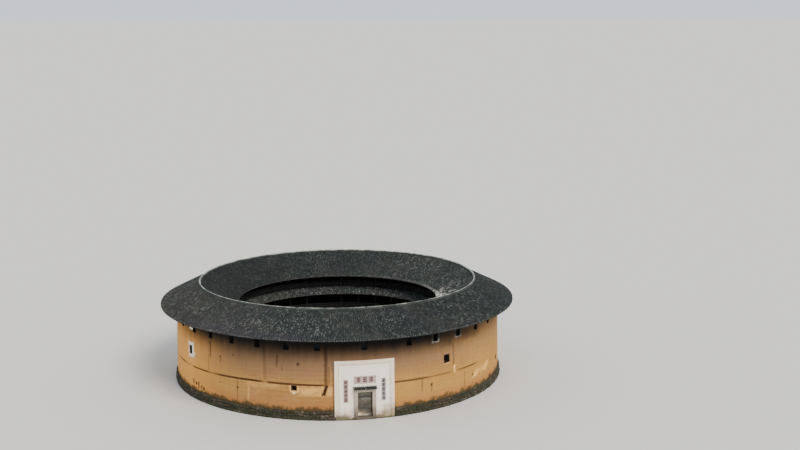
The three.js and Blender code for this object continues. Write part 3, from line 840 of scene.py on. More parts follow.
def pierced(pile, start, end, heights, outer, inner, holes, step=0.6, rise=0.22, slots=(0, 1, 0)):
    """Adds a stretch of ring wall with holes. heights gives its foot and its top at the outer and
    at the inner face, and outer and inner are radii at an azimuth and height. A hole is (azimuth,
    height, width, height of the hole). slots are those of the outer face, the inner face and the
    cut edges."""
    low, high, high_inside = heights
    holes = [((azimuth - start) % 360 + start, *rest) for azimuth, *rest in holes]
    sides = [azimuth + s * half_angle(wide, WALL_RADIUS)
             for azimuth, _, wide, _ in holes for s in (-1, 1)]
    sides_in = [azimuth + s * half_angle(wide, inner(azimuth, z))
                for azimuth, z, wide, _ in holes for s in (-1, 1)]
    columns = snapped(start, end, step, sides)
    rows = snapped(low, high, rise, [z + s * tall / 2 for _, z, _, tall in holes for s in (-1, 1)])
    order = np.argsort(sides) if sides else []
    known = [start, *np.array(sides)[order], end] if sides else [start, end]
    known_in = [start, *np.array(sides_in)[order], end] if sides else [start, end]
    keep = np.concatenate([[True], np.diff(known) > 0])
    columns_in = np.interp(columns, np.array(known)[keep], np.array(known_in)[keep])
    m, n = len(rows), len(columns)
    a, z = np.meshgrid(columns, rows)
    a_in, z_in = np.meshgrid(columns_in, [*rows[:-1], high_inside])
    faces = polar(a, outer(a, z), z), polar(a_in, inner(a_in, z), z_in)
    verts = np.concatenate([face.reshape(-1, 3) for face in faces])
    mid_a, mid_z = (columns[1:] + columns[:-1]) / 2, (rows[1:] + rows[:-1]) / 2
    solid = np.ones((m - 1, n - 1), bool)
    for azimuth, level, wide, tall in holes:
        over = np.abs((mid_a - azimuth + 180) % 360 - 180) < half_angle(wide, WALL_RADIUS)
        solid &= ~(over[None] & (np.abs(mid_z - level) < tall / 2)[:, None])
    number = np.arange(m * n).reshape(m, n)
    quads = np.stack([number[:-1, :-1], number[:-1, 1:], number[1:, 1:], number[1:, :-1]], axis=-1)[solid]
    first, back = pile.count, m * n
    pile.add(verts, [quads], slots[0])
    pile.more_faces(quads[:, ::-1] + back, first, slots[1])
    pile.more_faces(edge_strips(number, solid, back), first, slots[2])


def edge_strips(number, solid, back):
    """Quads through the wall where a filled cell meets an empty one, or the foot or top."""
    strips = []
    padded = np.pad(solid, ((1, 1), (0, 0)))
    for i, j in zip(*np.nonzero(padded[1:] != padded[:-1])):
        a, b = number[i, j], number[i, j + 1]
        strips.append((a, b, b + back, a + back) if padded[i, j] else (b, a, a + back, b + back))
    for i, j in zip(*np.nonzero(solid[:, 1:] != solid[:, :-1])):
        a, b = number[i, j + 1], number[i + 1, j + 1]
        strips.append((b, a, a + back, b + back) if solid[i, j] else (a, b, b + back, a + back))
    return np.array(strips)


# %% The three storeys
def pounded(azimuth, z):
    """The outer face with its slow waves, which fade out at the gate."""
    a = np.radians(azimuth)
    waves = np.sin(9 * a + 1.1 * z) + 0.7 * np.sin(23 * a - 0.8 * z + 1) + 0.5 * np.sin(47 * a + 2.3 * z + 2)
    lifts = 0.5 * np.sin(2 * np.pi * z / LIFT)
    return wall_face(z) + 0.008 * (waves + lifts) * np.clip((np.abs(azimuth) - 9) / 3, 0, 1)


GATE_HOLE = (0, (FOOTING_TOP + LINTEL_TOP) / 2, 2 * FRAME_HALF, LINTEL_TOP - FOOTING_TOP + 0.002)
OUTER_SLOPE, INNER_SLOPE = slope_line(RIDGE, OUTER_EAVE), slope_line(RIDGE, INNER_EAVE)


def storey(name, nodes, start, end, heights, inner_radius, holes, reveal=EARTH_INSIDE_SHADED):
    pile = Pile()
    inner_face = lambda azimuth, z: inner_radius + 0 * z
    pierced(pile, start, end, heights, pounded, inner_face, holes, slots=(0, 1, 2))
    return pile.piece(name, [EARTH_OUTSIDE, EARTH_INSIDE_SHADED, reveal], nodes)


for side, start in (("left", -180.0), ("right", 0.0)):
    over = ["wall_over_gate"] if side == "left" else []
    storey(f"earth_ground_{side}", [f"wall_ground_{side}", *over], start, start + 180,
           (FOOTING_TOP, MIDDLE_LEDGE, MIDDLE_LEDGE), INNER_RADIUS["ground"], [*GROUND_WINDOWS, GATE_HOLE])

# The upper storeys go up in stretches, and the top one's head slants up inwards under the roof.
MIDDLE_STRETCHES = {
    "front_right": (0, 60), "right": (60, 120), "back_right": (120, 180),
    "back_left": (-180, -120), "left": (-120, -60), "front_left": (-60, 0),
}
for name, (start, end) in MIDDLE_STRETCHES.items():
    storey(f"earth_middle_{name}", [f"wall_middle_{name}"], start, end,
           (MIDDLE_LEDGE, TOP_LEDGE, TOP_LEDGE), INNER_RADIUS["middle"], MIDDLE_WINDOWS, EARTH_SHADED_REVEALS)
TOP_STRETCHES = {
    "front": (-20, 20), "front_right": (20, 80), "right": (80, 100), "back_right": (100, 160),
    "back": (160, 200), "back_left": (-160, -100), "left": (-100, -80), "front_left": (-80, -20),
}
UNDER_ROOF = [OUTER_SLOPE(r) - ROOF_DEEP - 0.01 for r in (wall_face(8.5), INNER_RADIUS["top"])]
for name, (start, end) in TOP_STRETCHES.items():
    storey(f"earth_top_{name}", [f"wall_top_{name}"], start, end, (TOP_LEDGE, *UNDER_ROOF),
           INNER_RADIUS["top"], TOP_WINDOWS, EARTH_SHADED_REVEALS)


# %% [markdown]
# ## The passage through the wall
# Behind the stone frame the passage is a little narrower than the frame, so two earth cheeks
# close the step. The timber lintels that carry the earth over it follow with the gate leaves.

# %% Earth cheeks
PASSAGE_HALF, CHEEK_LAP = 0.95, 0.06


def earth_cheeks():
    """Two blocks beside the passage, which reach a little way in behind the stone frame."""
    pile = Pile()
    wide = FRAME_HALF + CHEEK_LAP - PASSAGE_HALF
    deep = -INNER_RADIUS["ground"] + 0.03 - GATE_BACK
    cheek = box(wide, deep, LINTEL_TOP, foot=True)
    for sign in (-1, 1):
        pile.stamp(*put(cheek, sign * (PASSAGE_HALF + wide / 2), GATE_BACK + deep / 2, 0))
    return pile.piece("earth_cheeks", [PASSAGE_EARTH_LIT])


earth_cheeks()

# %% [markdown]
# ## Timber
# Everything in the galleries is fir that has gone nearly black with smoke and weather, and painted
# shade makes it darker still. The fibre group reads the grain attribute, so the streaks run along
# each board whichever way it lies. The shade attribute makes one board paler than the next, and dust
# greys the faces that look up.

# %% Timber finishes
def timber(name, dark, light, rough=0.8, dusty=0.5):
    material, tree, surface = new_material(name, rough)
    along_grain = attribute(tree, "grain", "Vector")
    wood = use(tree, fibre_group, {"Vector": along_grain, "Fineness": 1.0})
    base = toned(tree, colour(dark), wood["Tone"], light)
    base = toned(tree, base, between(tree, attribute(tree, "shade"), 0.1, 1.0, 0.0, 0.45), light)
    base = toned(tree, base, wood["Cracks"], "120d09", 0.8)
    dust = use(tree, settled, {"Vector": own_place(tree), "Scale": 4.0, "Amount": dusty})["Mask"]
    base = toned(tree, base, dust, "5d5850", 0.5)
    tree.links.new(between(tree, wood["Tone"], 0.0, 1.0, rough, rough - 0.15), surface.inputs["Roughness"])
    dress(tree, surface, base, wood["Height"], 0.004, 0.7)
    return material


# Gallery timber: nearly black with smoke, and darker still as painted shade.
DARK_SHADED_TIMBER = timber("smoked_shaded_timber", "151617", "282a2b")
# Rafters, roof boards and upper window frames: black with smoke, and darker as painted shade.
SHADED_RAFTER_TIMBER = timber("rafter_timber_shaded", "101112", "1b1c1e")
FLOOR_TIMBER = timber("floorboards", "2d2a26", "4e4840", 0.75, 0.7)
LEAF_TIMBER = timber("gate_leaf_timber", "30241a", "5a4632", 0.7, 0.2)
print("timbers:", DARK_SHADED_TIMBER.name, SHADED_RAFTER_TIMBER.name, FLOOR_TIMBER.name, LEAF_TIMBER.name)

# %% [markdown]
# ## Plaster, stone and paint
# Lime plaster is nearly white but never even: it yellows where water runs, greys in its pores
# and flakes low down, where mud splashes it. Granite is speckled. Both get a little relief.

# %% Lime plaster
def lime_plaster(name, light, dull, foot_dirt=0.0, eave_soot_and_shade_share=0.0):
    """Lime on earth. foot_dirt says how much mud got on it, and the eave's share how much soot and painted
    shade from the eave darken it.
    """
    material, tree, surface = new_material(name, 0.9)
    here = own_place(tree)
    place = on_the_ring(tree, here)
    clouds = patch(tree, here, 1.1, 0.36, 0.66, up=0.8)
    drips = patch(tree, here, 7.0, 0.5, 0.74, up=0.5)
    rosy = patch(tree, here, 0.7, 0.45, 0.7, up=0.5)
    base = toned(tree, colour(light), clouds, dull, 0.5)
    base = toned(tree, base, rosy, "ecd3c6", 0.3)
    base = toned(tree, base, drips, "a39682", 0.18)
    if foot_dirt:
        to_the_right = between(tree, place["Along"], 0.4, 2.6, 0.0, 0.5)
        jagged = less(tree, place["Height"], times(tree, noisy(tree, here, 2.2, 5.0), 1.7))
        splashed = between(tree, less(tree, jagged, to_the_right), 0.45, -0.85, 0.0, foot_dirt)
        base = toned(tree, base, splashed, "8f7a5a")
        green = between(tree, jagged, -0.35, -0.75, 0.0, 0.8 * foot_dirt)
        base = toned(tree, base, green, "5b5840")
    # Soot under the eave, with painted shade from the eave in the same mask.
    if eave_soot_and_shade_share:
        sooty_and_shaded = use(tree, eave_soot_and_shade_group, {
            "Vector": here, "Height": place["Height"], "Low": 5.3, "High": 7.1, "Amount": eave_soot_and_shade_share})["Mask"]
        base = toned(tree, base, sooty_and_shaded, SOOT_AND_SHADE)
    dress(tree, surface, base, gritty(tree, here, 1.8, 22.0, 0.25), 0.012, 0.6)
    return material


GATE_PLASTER = lime_plaster("gate_plaster_lime", "fff1e2", "f3e0ce", foot_dirt=0.9)
BORDER_PLASTER = lime_plaster("border_plaster_lime", "f6e3cd", "e2cdb4", foot_dirt=0.9)
LINE_PLASTER = lime_plaster("tinted_line_lime", "b7a7a6", "a39494")
# The window coats darken towards the eave with soot and painted shade.
WINDOW_PLASTER = lime_plaster("window_plaster_lime", "f0e8da", "d6c9b3", eave_soot_and_shade_share=0.97)
print("plasters:", GATE_PLASTER.name, BORDER_PLASTER.name, LINE_PLASTER.name, WINDOW_PLASTER.name)


# %% Granite and rubble
def granite(name, light, dark, limewashed=False):
    """Speckled stone. A limewashed frame is pale above, where nothing rubs it, and dark below."""
    material, tree, surface = new_material(name, 0.75)
    here = own_place(tree)
    specks = patch(tree, here, 70.0, 0.42, 0.6, detail=2.0)
    clouds = patch(tree, here, 1.6, 0.35, 0.65, up=1.1)
    base = toned(tree, colour(light), specks, dark, 0.55)
    base = toned(tree, base, clouds, "857b6b", 0.4)
    if limewashed:
        height = on_the_ring(tree, here)["Height"]
        worn_and_mottled = noisy(tree, here, 3.0, 5.0)
        edge = less(tree, height, times(tree, worn_and_mottled, 1.6))
        base = toned(tree, base, between(tree, edge, 0.1, 0.9, 0.0, 0.5), "c9bba9")
        base = toned(tree, base, between(tree, edge, 0.1, -0.6, 0.0, 0.8), "4d443a")
    dress(tree, surface, base, gritty(tree, here, 9.0, 80.0, 0.5), 0.006, 0.6)
    return material


def rubble():
    """Field stones, each with a colour of its own, damp and mossy near the ground."""
    material, tree, surface = new_material("footing_stones", 0.85)
    here = own_place(tree)
    shade = attribute(tree, "shade")
    base = toned(tree, colour("312d25"), between(tree, shade, 0.0, 0.5), "474034")
    base = toned(tree, base, between(tree, shade, 0.8, 1.0, 0.0, 0.7), "665c4d")
    veins = patch(tree, attribute(tree, "grain", "Vector"), 9.0)
    base = toned(tree, base, veins, "38332b", 0.4)
    moss = patch(tree, here, 1.1, 0.42, 0.58, detail=6.0)
    base = toned(tree, base, moss, "2c3020", 0.85)
    dress(tree, surface, base, gritty(tree, here, 14.0, 60.0), 0.012, 0.8)
    return material


def bedding():
    """The earth that the stones are bedded in, which shows as dark gaps between them."""
    material, tree, surface = new_material("footing_bedding", 0.95)
    here = own_place(tree)
    clods = patch(tree, here, 5.0)
    dress(tree, surface, toned(tree, colour("2c261e"), clods, "453a2c"), gritty(tree, here, 12.0), 0.03, 1.0)
    return material


FRAME_GRANITE = granite("frame_granite", "877a69", "5d5347", limewashed=True)
DRUM_GRANITE = granite("drum_granite", "8e8475", "665d51")
RUBBLE, BEDDING = rubble(), bedding()
print("stones:", FRAME_GRANITE.name, DRUM_GRANITE.name, RUBBLE.name, BEDDING.name)


# %% Painted boards and iron
def old_paint(name, main, worn_and_mottled):
    material, tree, surface = new_material(name, 0.7)
    here = own_place(tree)
    flakes = patch(tree, here, 9.0, 0.52, 0.6, up=5.0, detail=6.0)
    fade = patch(tree, here, 1.4, up=1.0)
    base = toned(tree, colour(main), fade, worn_and_mottled, 0.4)
    base = toned(tree, base, flakes, worn_and_mottled, 0.5)
    dress(tree, surface, base, less(tree, noisy(tree, here, 30.0), flakes), 0.003, 0.6)
    return material


def wrought_iron():
    material, tree, surface = new_material("wrought_iron", 0.5)
    here = own_place(tree)
    rust = patch(tree, here, 30.0, 0.42, 0.62)
    tree.links.new(between(tree, rust, 0.0, 1.0, 0.45, 0.85), surface.inputs["Roughness"])
    tree.links.new(between(tree, rust, 0.0, 1.0, 0.85, 0.1), surface.inputs["Metallic"])
    dress(tree, surface, toned(tree, colour("2b2927"), rust, "5c3a25"), noisy(tree, here, 60.0), 0.002, 0.6)
    return material


ROSY_PAINTS = [
    old_paint("rosy_ground", "b79a94", "c7aca4"), old_paint("rosy_rim", "a68b87", "b99f99"),
    old_paint("rosy_motif", "462f31", "6a5050"),
]
FADED_PAINTS = [
    old_paint("faded_ground", "b1a8a4", "c9beb8"), old_paint("faded_rim", "b5aaa6", "cbc0ba"),
    old_paint("faded_motif", "3a3335", "635a5a"),
]
IRON = wrought_iron()
print("paints:", len(ROSY_PAINTS + FADED_PAINTS), IRON.name)

# %% [markdown]
# ## Window joinery
# A window is a slit through a metre of earth with a small timber frame set back in it: a sill, a
# head, two sides and a few upright bars. One outline function makes the sticks for every window.

# %% Timber frames in the windows
STICK, BAR, SET_BACK = 0.07, 0.035, 0.28


def sticks(wide, tall, bars):
    """Centres and sizes of a window frame's timbers, round the window's middle."""
    side = (wide - STICK) / 2
    upright = [((s * side, 0, 0), (STICK, 0.09, tall)) for s in (-1, 1)]
    level = [((0, 0, s * (tall - STICK) / 2), (wide - 2 * STICK, 0.09, STICK)) for s in (-1, 1)]
    gap = (wide - 2 * STICK) / (bars + 1)
    slim = [((k * gap - wide / 2 + STICK, 0, 0), (BAR, BAR, tall - 2 * STICK))
            for k in range(1, bars + 1)]
    return upright + level + slim


def window_frames():
    pile = Pile()
    for azimuth, level, wide, tall in TOP_WINDOWS + MIDDLE_WINDOWS + GROUND_WINDOWS:
        where = places(azimuth, wall_face(level) - SET_BACK, level)
        for offset, size in sticks(wide, tall, 3 if wide > 0.5 else 2):
            fibre = int(np.argmax(size))
            # Frames of the windows above the ground storey take the darker timber, as painted shade.
            pile.stamp(moved(box(*size), *offset), where, level > MIDDLE_LEDGE, fibre)
    return pile.piece("window_frames", [DARK_SHADED_TIMBER, SHADED_RAFTER_TIMBER])


window_frames()

# %% [markdown]
# ## Plaster round the windows
# Some windows got a coat of lime round them, a finger thick with a worn edge. Where the eave is
# close, only the sill and the lower part of the sides were reached, and soot and painted shade from
# the eave dull them. Each coat is a small slab on the wall's face, pierced by its window. A few slow
# waves shift its edge, so that no coat is square. The unseen side repeats the same few in the same
# plain way.

# %% Coats of lime
COAT = 0.03
MIDDLE_LEFT = (-67.7, 4.80, 0.66, 0.90)  # the coat stops short of the window's edge here
COATS = [  # azimuth, foot, top, width, the window that it goes round, and how far its top slants
    (-67.5, 4.02, 5.58, 1.22, MIDDLE_LEFT, -0.35),
    (-112.3, 4.02, 5.58, 1.22, (-112.3, *MIDDLE_LEFT[1:]), 0.35),
    (25.1, 6.54, 7.52, 0.98, (25, *TOP_WINDOW), 0), (35, 6.56, 7.52, 0.98, (35, *TOP_WINDOW), 0),
    (155, 6.54, 7.52, 0.98, (155, *TOP_WINDOW), 0), (-115, 6.54, 7.52, 0.98, (-115, *TOP_WINDOW), 0),
    (-67.3, 6.84, 7.08, 0.8, None, 0), (-64.9, 4.35, 4.65, 0.24, None, 0),
    (-22.6, 2.44, 2.64, 0.3, None, 0.3),
]


def window_coats():
    pile = Pile()
    for azimuth, foot, top, wide, window, slant in COATS:
        reach = half_angle(wide, WALL_RADIUS)
        middle, half = (foot + top) / 2, (top - foot) / 2

        def outer(a, z):
            """The coat's face, which sinks into the wall along a wavering edge."""
            across, up = (a - azimuth) / reach, (z - middle) / half
            slow = 0.06 * np.sin(5.1 * across + 7 * up + azimuth)
            quick = 0.05 * np.sin(11 * across - 9 * up + 2 * azimuth)
            cut_off = slant * np.maximum(up, 0) * (0.5 - across / 2)
            edge = np.maximum(np.abs(across), np.abs(up) + cut_off)
            return pounded(a, z) + COAT * np.clip((0.98 - edge + (slow + quick)) * 9, -0.5, 1)

        pierced(pile, azimuth - reach, azimuth + reach, (foot, top, top), outer,
                lambda a, z: pounded(a, z) - COAT, [window] if window else [], step=0.22, rise=0.07,
                slots=(0, 0, 0) if window else (1, 1, 1))
    return pile.piece("window_coats", [WINDOW_PLASTER, BORDER_PLASTER], smooth=True)


window_coats()

# %% [markdown]
# ## Stone footing
# The footing keeps rain off the earth. It is a thick bank of field stones, bedded in earth. The
# packed ring stays as the bedding, and about eight hundred stones are set into its face in three
# courses. Six lumps, made by pushing the points of a small sphere in and out, are enough: turned,
# stretched and shaded at random, no two look alike.

# %% Field stones
COURSES = 3
STONE_WIDTH, STONE_SHAPES = 0.36, 6
STONES_FROM, STONES_TO = 9.75, 350.0  # azimuths, from one edge of the plaster round to the other
BANK_TOE, BANK_SHOULDER = 17.16, 17.08


def lump(seed):
    """A rounded stone about the origin, half a unit in radius."""
    ball = bmesh.new()
    bmesh.ops.create_icosphere(ball, subdivisions=2, radius=0.5)
    points = np.array([v.co[:] for v in ball.verts])
    faces = np.array([[v.index for v in f.verts] for f in ball.faces])
    ball.free()
    push = np.array([noise.noise((*(1.7 * p + seed * 9),)) for p in points])
    squared = np.sign(points) * (np.abs(points) * 2) ** 0.72 / 2
    return squared * (1 + 0.30 * push[:, None]), [faces]


def footing_stones():
    pile = Pile()
    lumps = [lump(seed) for seed in range(STONE_SHAPES)]
    high = FOOTING_TOP / COURSES
    for course in range(COURSES):
        azimuth = STONES_FROM
        while azimuth < STONES_TO:
            wide = STONE_WIDTH * RNG.uniform(0.55, 1.5)
            half = half_angle(wide, WALL_RADIUS)
            sway = 0.05 * np.sin(np.radians(azimuth) * 31 + course)
            level = (course + 0.5) * high + (sway + RNG.uniform(-0.04, 0.04)) * (course > 0)
            r = np.interp(level, (0, FOOTING_TOP), (BANK_TOE, BANK_SHOULDER)) + RNG.uniform(-0.05, -0.01)
            size = (wide * 1.04, 0.22 * RNG.uniform(0.8, 1.2), high * RNG.uniform(0.85, 1.15))
            where = places(azimuth + half, r, level, RNG.uniform(-8, 8), RNG.uniform(-10, 10), size)
            pile.stamp(lumps[RNG.integers(STONE_SHAPES)], where)
            azimuth += 2 * half
    for points in pile.verts:
        points[:, 2] = np.maximum(points[:, 2], 0.0)
    return pile.piece("footing_stones", [RUBBLE], smooth=True)


footing_stones()
for name in ("footing_left", "footing_right"):
    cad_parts[name].material_slots[0].material = BEDDING

# %% [markdown]
# ## The gate
# The stone frame, the plaster field with its raised border, the hood and the three boards make
# the front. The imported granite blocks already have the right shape, so they stay, and a Bevel
# modifier takes the knife edge off them. The plaster is rebuilt on the wall's true curve.

# %% Stone frame
def softened(name, material, width=0.012):
    """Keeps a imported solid, with its edges worn round and a finish."""
    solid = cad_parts[name]
    weld = solid.modifiers.new("weld", "WELD")
    weld.merge_threshold = 0.0005
    bevel = solid.modifiers.new("worn_edges", "BEVEL")
    bevel.width = width
    bevel.segments = 2
    bevel.limit_method = "ANGLE"
    bevel.angle_limit = np.radians(40)
    solid.material_slots[0].material = material


for name in ("gate_threshold", "gate_jamb_left", "gate_jamb_right", "gate_lintel"):
    softened(name, FRAME_GRANITE)

# %% Plaster field and border
PANEL_HALF, PANEL_LOW, PANEL_TOP, PANEL_THICK = 9.6, 0.04, 5.70, 0.06
BORDER, BORDER_PROUD = 0.31, 0.05
LINE_INSET, LINE_WIDE, LINE_PROUD, LINE_FOOT = 0.1, 0.04, 0.018, 0.6
BORDER_ANGLE = np.degrees(BORDER / WALL_RADIUS)
DOOR_HOLE = (0, LINTEL_TOP / 2 - 1, 2 * FRAME_HALF, LINTEL_TOP + 2.004)


def plaster_field():
    pile = Pile()
    half = PANEL_HALF - BORDER_ANGLE
    trowelled = lambda a, z: wall_face(z) + PANEL_THICK + 0.004 * np.sin(0.9 * a + 2 * z) * np.sin(1.3 * z)
    pierced(pile, -half, half, (PANEL_LOW, PANEL_TOP - BORDER, PANEL_TOP - BORDER), trowelled,
            lambda a, z: wall_face(z), [DOOR_HOLE], step=0.5, slots=(0, 0, 0))
    return pile.piece("plaster_field", [GATE_PLASTER], ["gate_plaster"])


def band(low_radius, high_radius, low, high, cut):
    """The profile of a raised band on the wall, its two outer corners rounded off."""
    face = lambda z, out: (wall_face(z) + out, z)
    return [face(low, low_radius), face(low, high_radius - cut), face(low + cut, high_radius),
            face(high - cut, high_radius), face(high, high_radius - cut), face(high, low_radius)]


def plaster_border():
    pile = Pile()
    top = band(0.0, PANEL_THICK + BORDER_PROUD, PANEL_TOP - BORDER, PANEL_TOP, 0.02)
    pile.add(*swept(top, np.linspace(-PANEL_HALF, PANEL_HALF, 41)))
    side = band(0.0, PANEL_THICK + BORDER_PROUD, PANEL_LOW, PANEL_TOP - BORDER, 0.02)
    for sign in (-1, 1):
        ends = np.sort(sign * np.array([PANEL_HALF - BORDER_ANGLE, PANEL_HALF]))
        pile.add(*swept(side, np.linspace(*ends, 5)))
    line_low = PANEL_TOP - BORDER - LINE_INSET
    inner = band(PANEL_THICK, PANEL_THICK + LINE_PROUD, line_low, line_low + LINE_WIDE, 0.006)
    inset = PANEL_HALF - BORDER_ANGLE - np.degrees(LINE_INSET / WALL_RADIUS)
    pile.add(*swept(inner, np.linspace(-inset, inset, 41)), slot=1)
    upright = band(PANEL_THICK, PANEL_THICK + LINE_PROUD, LINE_FOOT, line_low, 0.006)
    for sign in (-1, 1):
        pile.add(*swept(upright, np.linspace(sign * inset - 0.07, sign * inset + 0.07, 3)), slot=1)
    return pile.piece("plaster_border", [BORDER_PLASTER, LINE_PLASTER], ["gate_plaster_border"])


plaster_field()
plaster_border()

# %% [markdown]
# ## Boards over and beside the door
# The three boards carry raised ornament here, not writing: a lozenge in a fret, a pattern of the
# common kind. Three stand on the name board and five on each upright board, dark on a faded rosy
# ground. A few sticks laid round a turned square make one motif, and it is stamped like the rest.

# %% Lozenge fret
BOARD_FACE, BOARD_RIM = PANEL_THICK + 0.04, 0.035
COUPLET_AT = 6.05


def lozenge(wide, tall, deep=0.018):
    """A fret with a lozenge in it, as parts seen from the front, with y into the wall."""
    stick = 0.17 * wide
    parts = [((s * (wide - stick) / 2, 0, 0), box(stick, deep, tall)) for s in (-1, 1)]
    parts += [((0, 0, s * (tall - stick) / 2), box(wide - 2 * stick, deep, stick)) for s in (-1, 1)]
    diamond = swung(box(0.46 * wide, deep * 1.4, 0.46 * wide), "y", 45.0)
    parts.append(((0, 0, 0), diamond))
    parts += [((0, 0, s * 0.3 * tall), box(0.5 * wide, deep, 0.09 * tall)) for s in (-1, 1)]
    return [moved(part, *offset) for offset, part in parts]


def board(name, node_name, middle, half, low, high, motifs, size, paints):
    """A painted board on the plaster, with a raised rim and its row of motifs."""
    pile = Pile()
    across = np.linspace(middle - half, middle + half, 13)
    back = BOARD_FACE - 0.012
    pile.add(*swept(band(PANEL_THICK, back, low, high, 0.006), across))
    rim = np.degrees(BOARD_RIM / WALL_RADIUS)
    for z in (low, high - BOARD_RIM):
        pile.add(*swept(band(back, BOARD_FACE, z, z + BOARD_RIM, 0.004), across), slot=1)
    upright = band(back, BOARD_FACE, low + BOARD_RIM, high - BOARD_RIM, 0.004)
    for edge in (middle - half, middle + half - rim):
        pile.add(*swept(upright, [edge, edge + rim]), slot=1)
    for azimuth, z in motifs:
        for part in lozenge(*size):
            pile.stamp(part, places(azimuth, wall_face(z) + BOARD_FACE - 0.008, z), slot=2)
    return pile.piece(name, paints, [node_name])


name_motifs = [(2.03 * k, 3.86) for k in (-1, 0, 1)]
board("painted_name_board", "name_board", 0, 3.5, 3.50, 4.19, name_motifs, (0.34, 0.46), ROSY_PAINTS)
for side, sign, paints in (("left", -1, ROSY_PAINTS), ("right", 1, FADED_PAINTS)):
    column = [(sign * COUPLET_AT, 1.97 + 0.42 * k) for k in range(5)]
    board(f"painted_couplet_{side}", f"couplet_board_{side}", sign * COUPLET_AT, 0.70, 1.72, 3.90,
          column, (0.27, 0.33), paints)

# %% [markdown]
# ## Roof clay and lime mortar
# Roof tiles are unglazed grey clay. From afar a roof of them is mottled in broad fields, where
# smoke, wet and lichen have worked on it unevenly. Close up every tile has a shade of its own, from
# the shade attribute. Each effect is one mask over the clay's colour, and what changes round the
# ring has a ramp, as on the wall. The slopes that face the lamp are darkened by one of these ramps
# as painted shade. Ridge and eave plugs are lime mortar, patched and spotted.

# %% Where the roof gets painted shade
SHADED_OUTSIDE = [  # azimuth, and how much painted shade darkens the outer slope there
    (-180, 0.3), (-100, 0.26), (-55, 0.22), (0, 0.27), (40, 0.46), (90, 0.58), (180, 0.3),
]
SHADED_INSIDE = [
    (-180, 0.38), (-130, 0.65), (-90, 0.8), (-60, 0.7), (0, 0.3), (90, 0.22), (140, 0.3), (180, 0.38),
]
WARM_TILES = [
    (-180, 0.1), (-110, 0.25), (-85, 0.4), (-50, 0.3), (-25, 0.05), (0, 0.1), (180, 0.1),
]
PURPLE_EAVE = [(-180, 0), (-62, 0), (-48, 0.55), (-22, 0.55), (-10, 0), (180, 0)]
LIMED_SIDE = [(-180, 0), (50, 0), (62, 1), (80, 1), (92, 0), (180, 0)]
LIMED_EDGE = [(-180, 0), (48, 0), (64, 1), (90, 0.9), (112, 0.15), (180, 0)]
NEAR_OUTER_EAVE, DOWN_INNER_SLOPE, AT_INNER_EAVE = (17.4, 18.0), (14.3, 10.6), (10.8, 10.6)  # radii
BLOTCHES = [  # fineness, from and to, share and colour: two broad ones, then a pace wide or less
    (0.22, 0.45, 0.65, 0.4, "332f38"), (0.33, 0.46, 0.66, 0.4, "46433b"),
    (1.1, 0.45, 0.66, 0.6, "14191a"), (0.8, 0.5, 0.68, 0.55, "1f2c26"), (2.1, 0.52, 0.74, 0.4, "525650"),
]
print("kinds of blotch on the tiles:", len(BLOTCHES))


# %% Clay and mortar
def tile_blotches(tree, here, base):
    """Broad fields of purple and brown, then blotches about a pace wide, dark, green and pale."""
    for across, low, high, share, tone in BLOTCHES:
        apart = (40 * across, 0.0, 9.0)
        elsewhere = node(tree, "ShaderNodeVectorMath", {0: here, 1: apart}, operation="ADD").outputs[0]
        base = toned(tree, base, patch(tree, elsewhere, across, low, high, detail=3.0), tone, share)
    return base


def clay_tile(name, dark, light):
    """Unglazed grey clay: every tile a little different, with lichen over them all, and painted shade on the
    slopes that face the lamp.
    """
    material, tree, surface = new_material(name, 0.85)
    here = own_place(tree)
    shade = attribute(tree, "shade")
    base = tile_blotches(tree, here, toned(tree, colour(dark), between(tree, shade, 0.0, 0.9), light))
    spread = patch(tree, here, 0.3, 0.38, 0.66, detail=3.0)
    pale_tile = times(tree, between(tree, shade, 0.80, 0.98, 0.0, 0.7), between(tree, spread, 0, 1, 0.4, 0.9))
    base = toned(tree, base, pale_tile, "777d77")
    lichen = patch(tree, here, 4.6, 0.58, 0.72, detail=2.0)
    crusted = times(tree, lichen, between(tree, spread, 0.0, 1.0, 0.2, 0.8))
    base = toned(tree, base, crusted, "7d8079")
    place = on_the_ring(tree, here)
    warm = round_the_ring(tree, place["Along"], WARM_TILES)
    base = toned(tree, base, warm, "39332c")
    low_down = between(tree, place["Radius"], *NEAR_OUTER_EAVE)
    near_eave = times(tree, low_down, round_the_ring(tree, place["Along"], PURPLE_EAVE))
    base = toned(tree, base, times(tree, near_eave, between(tree, spread, 0.0, 1.0, 0.9, 0.4)), "3a333e")
    on_top = between(tree, place["Height"], 6.6, 7.2)
    slope_shade = times(tree, painted_slope_shade(tree, place), on_top)
    base = toned(tree, base, slope_shade, "0c0f10")
    limed = times(tree, limed_streaks(tree, here, place), on_top)
    base = toned(tree, base, limed, "c2beb5")
    dress(tree, surface, base, gritty(tree, here, 8.0, 45.0), 0.008, 0.7)
    return material


def painted_slope_shade(tree, place):
    """Painted shade round the ring, read off one ramp for each slope, darkest where a slope faces the lamp.
    """
    outside = between(tree, place["Radius"], RIDGE[0] - 0.05, RIDGE[0] + 0.05)
    amounts = [round_the_ring(tree, place["Along"], stops) for stops in (SHADED_INSIDE, SHADED_OUTSIDE)]
    return mixed(tree, outside, *amounts)


